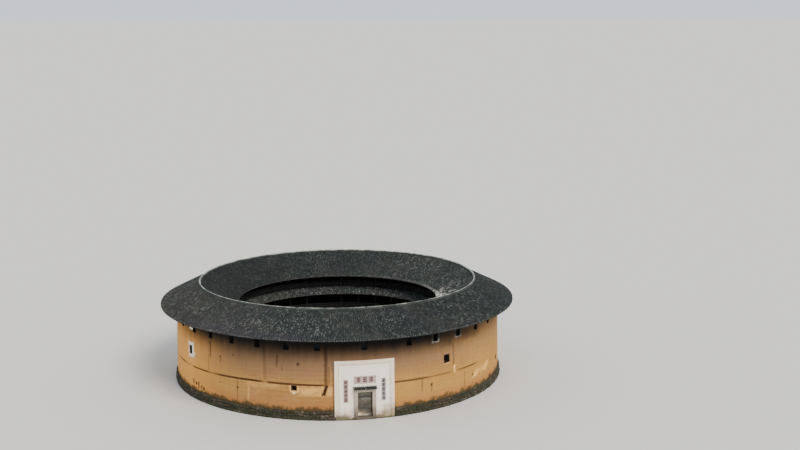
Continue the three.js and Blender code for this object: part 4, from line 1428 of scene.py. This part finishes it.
def limed_streaks(tree, here, place):
    """Lime washed down the inner slope on one side: whorls, and a band along the inner eave."""
    side = round_the_ring(tree, place["Along"], LIMED_SIDE)
    near = between(tree, place["Radius"], *DOWN_INNER_SLOPE)
    swirl = node(tree, "ShaderNodeTexNoise", {
        "Vector": here, "Scale": 0.7, "Detail": 5.0, "Distortion": 1.6}).outputs[0]
    whorls = between(tree, sums(tree, "PINGPONG", times(tree, swirl, 7.0), 1.0), 0.25, 0.75)
    broken = noisy(tree, here, 2.6, 5.0, 0.7)
    reach = plus(tree, times(tree, whorls, 0.3), times(tree, near, 0.5))
    washed = between(tree, plus(tree, reach, times(tree, broken, 0.9)), 0.9, 1.25)
    at_eave = between(tree, place["Radius"], *AT_INNER_EAVE)
    edge = times(tree, at_eave, between(tree, broken, 0.42, 0.58, 0.1, 0.75))
    long_side = round_the_ring(tree, place["Along"], LIMED_EDGE)
    both = sums(tree, "MAXIMUM", times(tree, washed, side), times(tree, edge, long_side))
    return times(tree, both, 0.8)


def lime_mortar(name, pale, dull):
    """The mortar of the ridge and of the plugs at the eave: grey lime, patched and lichened."""
    material, tree, surface = new_material(name, 0.9)
    here = own_place(tree)
    clouds = patch(tree, here, 0.8, 0.4, 0.62, detail=6.0)
    base = toned(tree, colour(pale), clouds, dull)
    spots = patch(tree, here, 7.0, 0.56, 0.64)
    base = toned(tree, base, spots, "3c403c", 0.6)
    dress(tree, surface, base, gritty(tree, here, 7.0, 30.0), 0.02, 0.8)
    return material


CLAY_TILE = clay_tile("clay_tile", "181e1e", "303836")
HOOD_TILE = clay_tile("hood_tile", "0f1010", "1a1b1b")
LIME_MORTAR = lime_mortar("lime_mortar", "a5a79d", "6a6d67")
EAVE_LIME = lime_mortar("eave_lime", "c9cac2", "6a6d67")
SOOTY_MORTAR = lime_mortar("sooty_mortar", "3e423f", "2c2f2d")
print("roof finishes:", CLAY_TILE.name, HOOD_TILE.name, LIME_MORTAR.name, EAVE_LIME.name, SOOTY_MORTAR.name)

# %% [markdown]
# ## Hood over the doorway
# A narrow roof of two courses of tiles throws rain clear of the lintel. It is laid in two lengths
# with a slit between them. A cover tile is half a pipe with a real thickness.

# %% Hood tiles
HOOD_HALF, HOOD_OUT, HOOD_BACK = 1.12, GATE_FRONT - 0.24, GATE_FRONT + 0.16
HOOD_DEEP, HOOD_DROP, HOOD_BOARD = 0.40, 0.14, 0.03
HOOD_LENGTH, HOOD_SLIT = 1.09, 0.04
HOOD_COVERS, HOOD_PITCH = 6, 0.193


def half_pipe(radius, thick, length, parts=6):
    """A tile bent over the y axis, its crown up, from y = 0 back to its length."""
    angle = np.linspace(np.radians(8), np.radians(172), parts)
    arch = np.stack([np.cos(angle), np.sin(angle)], axis=1)
    outline = np.concatenate([arch * radius, arch[::-1] * (radius - thick)])
    return extruded(outline[:, ::-1], 1, 0.0, length)


def hood():
    """Two lengths of boards with tiles on them: per row two covers that overlap, and a trough."""
    pile = Pile()
    slant = spin("x", [np.degrees(np.arctan2(HOOD_DROP, HOOD_DEEP))])[0]
    upside_down = slant @ spin("y", [180.0])[0]
    tile, trough = half_pipe(0.052, 0.012, 0.25), half_pipe(0.06, 0.012, 0.36)
    side_view = [(0, 0), (0, HOOD_BOARD), (-HOOD_DEEP, HOOD_BOARD - HOOD_DROP), (-HOOD_DEEP, -HOOD_DROP)]
    deck = extruded(side_view, 0, -HOOD_LENGTH / 2, HOOD_LENGTH / 2)
    for sign in (-1, 1):
        middle = sign * (HOOD_HALF + HOOD_SLIT / 2) / 2
        pile.stamp(*put(deck, middle, HOOD_BACK, LINTEL_TOP + 0.145), slot=1, fibre=0)
        for k in range(HOOD_COVERS):
            x = sign * (0.09 + k * HOOD_PITCH)
            for y, lift in ((HOOD_OUT, 0.0), (HOOD_OUT + 0.19, 0.012)):
                z = LINTEL_TOP + 0.045 + (y - HOOD_OUT) * HOOD_DROP / HOOD_DEEP + lift
                pile.stamp(*put(tile, x, y, z, slant))
            if k < HOOD_COVERS - 1:
                beside = x + sign * HOOD_PITCH / 2
                pile.stamp(*put(trough, beside, HOOD_OUT + 0.01, LINTEL_TOP + 0.085, upside_down))
    return pile.piece("hood_tiles", [HOOD_TILE, DARK_SHADED_TIMBER], ["gate_hood"])


hood()

# %% [markdown]
# ## Gate leaves
# Each leaf is five planks on three battens, hung on a round stile that turns in a socket at its
# foot and another at its head. Both leaves stand open, back along the passage. A leaf is modelled
# where it stands at rest, and then rides on its own body, so the hinge swings all of it.

# %% Leaves
LEAF_PIVOT = (0.80, -16.695)
LEAF_LOW, LEAF_HIGH, LEAF_REACH = 0.215, 2.785, 0.796
PLANKS, PLANK_GAP = 5, 0.005
BATTENS = (0.30, 1.28, 2.26)
STUD = [(0.016, 0.0), (0.012, 0.008), (0.004, 0.011)]
RING_PLATE = [(0.055, 0.0), (0.052, 0.005), (0.02, 0.012)]


def iron_ring(major, minor, turns=24, sides=8):
    """A ring that hangs in the plane of x = 0."""
    i, k = np.meshgrid(np.arange(turns), np.arange(sides), indexing="ij")
    t, p = i * 2 * np.pi / turns, k * 2 * np.pi / sides
    out = major + minor * np.cos(p)
    points = np.stack([minor * np.sin(p), out * np.cos(t), out * np.sin(t)], axis=-1).reshape(-1, 3)
    number = lambda a, b: (a % turns) * sides + b % sides
    quads = np.stack([number(i, k), number(i + 1, k), number(i + 1, k + 1), number(i, k + 1)], axis=-1)
    return points, [quads.reshape(-1, 4)]


def leaf(side, sign):
    """sign is -1 for the left leaf. Its show side looks to the middle of the passage."""
    pile = Pile()
    px, py = sign * LEAF_PIVOT[0], LEAF_PIVOT[1]
    high = LEAF_HIGH - LEAF_LOW
    wide = (LEAF_REACH - 0.03) / PLANKS
    show = -sign
    middles = [py + 0.03 + (k + 0.5) * wide for k in range(PLANKS)]
    for k, y in enumerate(middles):
        plank = extruded(chamfered(0.048, wide - PLANK_GAP, 0.005), 2, 0.0, high - 0.006 * (k % 2))
        pile.stamp(*put(plank, px + show * 0.015, y, LEAF_LOW))
    batten = extruded(chamfered(0.11, 0.03, 0.005), 1, 0.05, LEAF_REACH - 0.02)
    stud = swung(turned(STUD, 8), "y", 90.0 * show)
    for z in BATTENS:
        pile.stamp(*put(batten, px - show * 0.025, py, LEAF_LOW + z), fibre=1)
        for y in middles:
            pile.stamp(*put(stud, px + show * 0.039, y, LEAF_LOW + z), slot=1)
    stile = turned([(0.034, -0.07), (0.034, 0.0), (0.045, 0.002), (0.045, high - 0.002),
                    (0.034, high), (0.034, high + 0.058)], 20)
    pile.stamp(*put(stile, px, py, LEAF_LOW))
    plate = swung(turned(RING_PLATE, 20), "y", 90.0 * show)
    pile.stamp(*put(plate, px + show * 0.039, py + 0.70, 1.35), slot=1)
    pile.stamp(*put(iron_ring(0.055, 0.007), px + show * 0.052, py + 0.70, 1.30), slot=1)
    name = f"gate_leaf_{side}"
    return pile.piece(f"planked_leaf_{side}", [LEAF_TIMBER, IRON], [name], body=f"{side}_leaf")


leaf("left", -1)
leaf("right", 1)


def inner_lintels():
    """Three squared logs side by side, over the passage behind the stone frame."""
    pile = Pile()
    low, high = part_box("gate_inner_lintel")
    deep = (high[1] - low[1]) / 3
    for k in range(3):
        log = extruded(chamfered(deep - 0.012, high[2] - low[2] - 0.004, 0.02), 0, low[0], high[0])
        pile.stamp(*put(log, 0, low[1] + (k + 0.5) * deep, (low[2] + high[2]) / 2), fibre=0)
    return pile.piece("inner_lintel_logs", [DARK_SHADED_TIMBER], ["gate_inner_lintel"])


inner_lintels()

# %% [markdown]
# ## The tiled roof
# The roof is what the eye goes to, so it is laid tile by tile. A row runs from the ridge to an
# eave: troughs below, and covers over the joints between them. On a ring the rows fan out, so a
# tile's width is a share of its row's angle. Each tile is a curved strip whose lower end rides
# up over the next tile and has a lip as thick as the clay. At the eave, a plug of lime closes
# the end of each cover.

# %% Laying tiles
TILE_LAP, TILE_LIP, TILE_STEP = 0.045, 0.016, 0.017
COVER_BED, TROUGH_BED = -0.062, -0.052
COVER = [(np.sin(t) * 0.30, 0.052 * np.cos(t)) for t in np.radians([-82, -28, 28, 82])]
TROUGH = [(-0.36, 0.012), (0.0, -0.026), (0.36, 0.012)]


def slope_frame(start, end):
    """Length of a slope, and its directions down and out of it, as (radius, height)."""
    run = np.array(end) - np.array(start)
    length = np.hypot(*run)
    down = run / length
    out = np.array([-down[1], down[0]]) * np.sign(down[0])
    return length, down, out


def tiles(start, end, azimuths, pitch, courses, section, bed):
    """Points and faces of one kind of tile in all rows and courses. section is across the row:
    (share of the pitch, height). bed is how far the clay lies over the slope line."""
    length, down, out = slope_frame(start, end)
    n, k = len(azimuths) * courses, len(section)
    row, course = (v.ravel() for v in np.meshgrid(azimuths, np.arange(courses), indexing="ij"))
    each = length / courses
    head = np.maximum(course * each - TILE_LAP, 0.0) + RNG.uniform(-0.008, 0.008, n)
    tail = (course + 1) * each + RNG.uniform(-0.012, 0.012, n) * (course < courses - 1)
    twist = RNG.normal(0, 0.025, (n, 2))
    sink = RNG.normal(0, 0.004, n)
    share, height = np.array(section).T
    levels = []
    for along, lift, turn in ((head, 0.0, 0), (tail, TILE_STEP, 1), (tail, TILE_STEP - TILE_LIP, 1)):
        offset = bed + sink[:, None] + lift + height[None]
        r = start[0] + down[0] * along[:, None] + out[0] * offset
        z = start[1] + down[1] * along[:, None] + out[1] * offset
        levels.append(polar(row[:, None] + pitch * (share[None] + twist[:, turn, None]), r, z))
    points = np.stack(levels, axis=1).reshape(-1, 3)
    i = np.arange(k - 1)
    strip = np.stack([i, i + k, i + k + 1, i + 1], axis=1)
    quads = np.concatenate([strip, strip + k])
    if down[0] < 0:
        quads = quads[:, ::-1]
    corners = (quads[None] + np.arange(n)[:, None, None] * 3 * k).reshape(-1, 4)
    shade = np.repeat(RNG.random(n), 3 * k)
    return points, [corners], shade


def eave_plugs(start, end, azimuths, pitch):
    """Lime in the open ends of the covers at the eave."""
    _, down, out = slope_frame(start, end)
    share, height = np.array([*COVER, (0.0, -0.012)]).T
    offset = COVER_BED + TILE_STEP + height
    r = end[0] + out[0] * offset - down[0] * 0.004
    z = end[1] + out[1] * offset - down[1] * 0.004
    points = polar(np.asarray(azimuths)[:, None] + pitch * share[None], r[None], z[None])
    fan = np.array([[4, k + 1, k] for k in range(3)])
    if down[0] < 0:
        fan = fan[:, ::-1]
    corners = (fan[None] + np.arange(len(azimuths))[:, None, None] * 5).reshape(-1, 3)
    return points.reshape(-1, 3), [corners]


def tiled_slope(name, node_names, start, end, rows, courses, span):
    """The tiles of a slope between two azimuths."""
    pitch = 360.0 / rows
    count = round((span[1] - span[0]) / pitch)
    covers = span[0] + (np.arange(count) + 0.5) * pitch
    pile = Pile()
    for azimuths, section, bed in ((covers, COVER, COVER_BED), (covers + pitch / 2, TROUGH, TROUGH_BED)):
        points, faces, shade = tiles(start, end, azimuths, pitch, courses, section, bed)
        pile.add(points, faces, 0, shade=shade)
    pile.add(*eave_plugs(start, end, covers, pitch), slot=1)
    return pile.piece(name, [CLAY_TILE, EAVE_LIME], node_names, smooth=True)


# %% Both slopes, quarter by quarter
OUTER_ROWS, INNER_ROWS, SLOPE_COURSES = 480, 400, 22
SKIRT_ROWS, SKIRT_COURSES = 300, 6
RIDGE_WIDE = 0.12
QUARTERS = (
    ("front_right", 0, 90), ("back_right", 90, 180), ("back_left", 180, 270), ("front_left", 270, 360),
)
outer_head, inner_head = [
    (RIDGE[0] + s * RIDGE_WIDE / 2, slope(RIDGE[0] + s * RIDGE_WIDE / 2))
    for s, slope in ((1, OUTER_SLOPE), (-1, INNER_SLOPE))]
for name, low, high in QUARTERS:
    for slope, head, eave, rows in (
        ("outer", outer_head, OUTER_EAVE, OUTER_ROWS), ("inner", inner_head, INNER_EAVE, INNER_ROWS),
    ):
        tiled_slope(f"tiles_{slope}_{name}", [f"roof_{slope}_{name}"], head, eave, rows,
                    SLOPE_COURSES, (low, high))
tiled_slope("tiles_skirt", ["skirt_roof"], SKIRT_HEAD, SKIRT_EAVE, SKIRT_ROWS, SKIRT_COURSES, (0, 360))

# %% [markdown]
# ## Ridge, boards and rafters
# The ridge is a hump of mortar that seals the two slopes, with sooty flanks and a worn pale crown.
# It is swept round the ring and then dented at random. Under the tiles lie thin boards, and under
# those the rafters, whose ends show at both eaves. Boards and rafters are black with smoke, and
# painted shade makes them darker still. They carry the tiles, so from below the roof looks built,
# not hollow.

# %% Ridge
def ridge():
    pile = Pile()
    foot, crown, rise = 0.115, 0.05, 0.125
    arch = [(-foot, -0.10), (foot, -0.10), (foot * 0.85, 0.045), (crown, rise * 0.85), (0, rise),
            (-crown, rise * 0.85), (-foot * 0.85, 0.045)]
    profile = [(RIDGE[0] + x, RIDGE[1] + z) for x, z in arch]
    points, (quads,) = swept(profile, np.arange(0, 360, 0.75), closed=True)
    dents = RNG.normal(0, 0.009, (len(points), 1)) * np.array([1, 1, 0.8])
    side = np.arange(len(quads)) % len(arch)
    crown_faces = (side >= 3) & (side <= 5)
    pile.add(points + dents, [quads[~crown_faces]], slot=1)
    pile.more_faces(quads[crown_faces], 0, 0)
    return pile.piece("ridge_mortar", [LIME_MORTAR, SOOTY_MORTAR], ["roof_ridge"], smooth=True)


ridge()

# %% Boards and rafters
DECK_TOP, DECK_THICK, RAFTER_DEEP = 0.085, 0.022, 0.085


def roof_timbers(name, start, end, count):
    """Boards and rafters under a slope, in vertical layers below its line."""
    pile = Pile()
    top, foot = DECK_TOP, DECK_TOP + DECK_THICK
    section = [(r, z - drop) for (r, z), drop in ((start, top), (end, top), (end, foot), (start, foot))]
    if end[0] > start[0]:
        section = section[::-1]
    pile.add(*swept(section, np.arange(0, 360, 1.0), closed=True))
    length, down, _ = slope_frame(start, end)
    middle = (np.array(start) + np.array(end)) / 2
    drop = foot + RAFTER_DEEP / 2
    tilt = -np.sign(down[0]) * np.degrees(np.arctan2(down[1], abs(down[0])))
    stick = box(0.075, length - 0.02, RAFTER_DEEP)
    where = places((np.arange(count) + 0.5) * 360 / count, middle[0], middle[1] - drop, tilt)
    pile.stamp(stick, where, fibre=1)
    return pile.piece(name, [SHADED_RAFTER_TIMBER])


roof_timbers("rafters_outer", RIDGE, OUTER_EAVE, 180)
roof_timbers("rafters_inner", RIDGE, INNER_EAVE, 140)
roof_timbers("rafters_skirt", SKIRT_HEAD, SKIRT_EAVE, 108)

# %% [markdown]
# ## Galleries
# Behind the wall, three storeys of open galleries look into the court. Round posts stand every ten
# degrees, with one wide bay at the gate and one across from it. Beams join them, joists lie from
# the beams to the wall, and boards on the joists make the floors. Slatted rails close the upper
# galleries. Short arms at the foot of the top storey carry the skirt roof.

# %% Posts and beams
BAY, POSTS, POST_THICK = 10.0, 17, 0.115
BEAM_WIDE, BEAM_DEEP = 0.18, 0.24
DRUM_HIGH, ARM_END = 0.24, 10.6
DRUM = [(0.15, 0.0), (0.165, 0.03), (0.165, 0.13), (0.14, 0.2), (0.125, DRUM_HIGH)]
STARTS = (("right", 10.0), ("left", 190.0))
STOREYS = {
    "ground": (GROUND_FLOOR, MIDDLE_LEDGE, "gallery_frame_ground"),
    "middle": (MIDDLE_FLOOR, TOP_LEDGE, "gallery_frame_middle"),
    "top": (TOP_FLOOR, INNER_SLOPE(POST_RADIUS) - ROOF_DEEP, "gallery_frame_top"),
}


def beams(start, level):
    """Beams from post to post of a half, and the wide one that closes it."""
    bays = [(start + BAY * k, start + BAY * (k + 1)) for k in range(POSTS - 1)]
    for low, high in [(start - 2 * BAY, start), *bays]:
        half = np.radians(high - low) / 2
        length = 2 * POST_RADIUS * np.sin(half) - 0.02
        outline = chamfered(BEAM_WIDE, BEAM_DEEP, 0.018)
        stick = extruded(outline, 0, -length / 2, length / 2)
        yield stick, places((low + high) / 2, POST_RADIUS * np.cos(half), level - BEAM_DEEP / 2)


def gallery(storey_name, side, start):
    low, high, solid = STOREYS[storey_name]
    pile = Pile()
    base = DRUM_HIGH if storey_name == "ground" else 0.0
    tall = high - low - base
    post = turned([(POST_THICK, 0.0), (POST_THICK * 0.95, tall * 0.6), (POST_THICK * 0.9, tall)], 14)
    posts = start + BAY * np.arange(POSTS)
    pile.stamp(post, places(posts, POST_RADIUS, low + base))
    if base:
        pile.stamp(turned(DRUM, 14), places(posts, POST_RADIUS, low), slot=1)
    for stick, where in beams(start, high):
        pile.stamp(stick, where, fibre=0)
    if storey_name == "middle":
        head = slope_line(SKIRT_EAVE, SKIRT_HEAD)(ARM_END) - 0.14
        length = POST_RADIUS - ARM_END
        arm = extruded(chamfered(0.16, 0.12, 0.01), 1, -length / 2, length / 2)
        pile.stamp(arm, places(posts, ARM_END + length / 2, head - 0.08), fibre=1)
    name = f"gallery_{storey_name}_{side}"
    return pile.piece(name, [DARK_SHADED_TIMBER, DRUM_GRANITE], [f"{solid}_{side}"], smooth=True)


for storey_name in STOREYS:
    for side, start in STARTS:
        gallery(storey_name, side, start)

# %% Floors: joists and boards
BOARD_THICK, BOARD_PITCH, BOARD_WIDE, JOIST_DEEP = 0.035, 0.22, 0.214, 0.14


def gallery_floor(name, solid, top, inner_radius):
    pile = Pile()
    low = top - BOARD_THICK
    for k, r in enumerate(np.arange(FLOOR_EDGE, inner_radius, BOARD_PITCH)):
        edge = min(r + BOARD_WIDE, inner_radius)
        lift = 0.0015 * (k % 3)
        strip = [(r, low), (edge, low), (edge, top - lift), (r, top - lift)]
        points, faces = swept(strip, np.arange(0, 360, 2.5), closed=True)
        cut = np.radians(RNG.uniform(0, 360))
        around = np.arctan2(points[:, 0], -points[:, 1]) + cut
        reach = np.hypot(points[:, 0], points[:, 1])
        grain = np.stack([points[:, 2], reach, around * r], axis=1) + RNG.uniform(-9, 9)
        pile.add(points, faces, 0, grain, RNG.random())
    length = inner_radius - 0.02 - FLOOR_EDGE - 0.01
    joist = box(0.10, length, JOIST_DEEP)
    where = places(np.arange(0, 360, 2.5) + 1.25, FLOOR_EDGE + 0.01 + length / 2, low - JOIST_DEEP / 2)
    pile.stamp(joist, where, slot=1, fibre=1)
    return pile.piece(name, [FLOOR_TIMBER, DARK_SHADED_TIMBER], [solid])


gallery_floor("boards_middle", "middle_floor", MIDDLE_FLOOR, INNER_RADIUS["middle"])
gallery_floor("boards_top", "top_floor", TOP_FLOOR, INNER_RADIUS["top"])

# %% Rails
RAIL_RADIUS, RAIL_HIGH, SLATS = POST_RADIUS - 0.145, 0.92, 14


def gallery_rail(name, solid, floor):
    """A handrail and a foot rail with upright slats, from post to post right round."""
    pile = Pile()
    bays = BAY * np.arange(36)
    half = np.radians(BAY) / 2
    length = 2 * RAIL_RADIUS * np.sin(half)
    for level, deep, wide in ((RAIL_HIGH - 0.03, 0.06, 0.07), (0.62, 0.045, 0.045), (0.09, 0.05, 0.05)):
        stick = extruded(chamfered(wide, deep, 0.008), 0, -length / 2, length / 2)
        pile.stamp(stick, places(bays + BAY / 2, RAIL_RADIUS * np.cos(half), floor + level), fibre=0)
    slat = box(0.045, 0.022, RAIL_HIGH - 0.09, foot=True)
    for x in ((np.arange(SLATS) + 0.5) / SLATS - 0.5) * length:
        where = places(bays + BAY / 2, RAIL_RADIUS * np.cos(half), floor)
        pile.stamp(moved(slat, x, 0, 0.03), where)
    return pile.piece(name, [DARK_SHADED_TIMBER], [solid])


gallery_rail("rail_middle", "gallery_rail_middle", MIDDLE_FLOOR)
gallery_rail("rail_top", "gallery_rail_top", TOP_FLOOR)

# %% [markdown]
# ## Ground storey and court
# The ground storey's floor is beaten earth and lime with a kerb of dressed stone, and the court
# is a step lower and cobbled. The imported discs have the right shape, so they keep it and only
# get a finish. Cobbles are cells of a Voronoi texture: the distance to a cell's edge makes the
# joints, and the cell's own colour makes each stone differ.

# %% Paving finishes
KERB_RADIUS = 11.3


def cobbled(tree, here, size):
    """Joint mask, cobble tone and height of a cobbled surface."""
    near = node(tree, "ShaderNodeTexVoronoi", {"Vector": here, "Scale": 1 / size}, feature="DISTANCE_TO_EDGE")
    cell = node(tree, "ShaderNodeTexVoronoi", {"Vector": here, "Scale": 1 / size}, feature="F1")
    tone = node(tree, "ShaderNodeSeparateXYZ", {0: cell.outputs["Color"]}).outputs[0]
    dome = between(tree, near.outputs["Distance"], 0.0, 0.25)
    joint = between(tree, near.outputs["Distance"], 0.09, 0.03)
    return joint, tone, dome


def court_finish():
    material, tree, surface = new_material("court_cobbles", 0.8)
    here = own_place(tree)
    flat_place = stretched(tree, here, 1.0, 0.0)
    joint, tone, dome = cobbled(tree, flat_place, 0.16)
    base = toned(tree, colour("b3a58b"), tone, "dccdae")
    moss = patch(tree, here, 0.7, 0.5, 0.65, detail=6.0)
    base = toned(tree, base, moss, "6a664c", 0.3)
    base = toned(tree, base, joint, "574d3d")
    dress(tree, surface, base, dome, 0.03, 0.9)
    return material


def platform_finish():
    """Beaten earth and lime, with a kerb of long dressed stones round the court. Near the passage the floor
    is made near white: painted light.
    """
    material, tree, surface = new_material("platform_floor", 0.85)
    here = own_place(tree)
    place = on_the_ring(tree, here)
    clouds = patch(tree, here, 0.8, 0.35, 0.65, detail=5.0)
    earth = toned(tree, colour("b8a68a"), clouds, "d2c1a3")
    # Painted light: by the passage the floor turns near white, with a mottled pattern in it.
    painted_light_by_passage = between(tree, sums(tree, "ABSOLUTE", place["Along"]), 2.6, 1.2)
    worn_and_mottled = patch(tree, here, 1.7, 0.4, 0.56)
    earth = mixed(tree, painted_light_by_passage, earth, toned(tree, colour("fff2d8"), worn_and_mottled, "d6c09c"))
    kerb = between(tree, place["Radius"], KERB_RADIUS + 0.01, KERB_RADIUS - 0.01)
    stone = toned(tree, colour("8d8678"), clouds, "726b5f")
    ends = sums(tree, "FRACT", sums(tree, "DIVIDE", place["Along"], 1.7))
    rim = line_at(tree, place["Radius"], KERB_RADIUS, 0.008, 0.006)
    joints = sums(tree, "MAXIMUM", between(tree, ends, 0.015, 0.008), rim)
    base = mixed(tree, kerb, earth, stone)
    base = toned(tree, base, times(tree, joints, times(tree, kerb, 0.8)), "39332b")
    dress(tree, surface, base, gritty(tree, here, 5.0, 40.0), 0.012, 0.7)
    return material


for name, finish in (("courtyard_floor", court_finish()), ("ground_floor", platform_finish())):
    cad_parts[name].material_slots[0].material = finish

# %% [markdown]
# ## Studio floor
# A plain pale floor carries the house, so that its shadow and the bounce of light look natural. It
# reaches so far out that its edge lies at the horizon.

# %% Floor
def studio_floor():
    mesh = bpy.data.meshes.new("studio_floor")
    reach, level = 9000.0, -0.004
    signs = ((-1, -1), (1, -1), (1, 1), (-1, 1))
    mesh.from_pydata([(reach * x, reach * y, level) for x, y in signs], [], [(0, 1, 2, 3)])
    material, _, surface = new_material("studio_floor", 0.95)
    surface.inputs["Base Color"].default_value = colour("cfccc6")
    mesh.materials.append(material)
    floor = bpy.data.objects.new("studio_floor", mesh)
    bpy.context.scene.collection.objects.link(floor)


studio_floor()
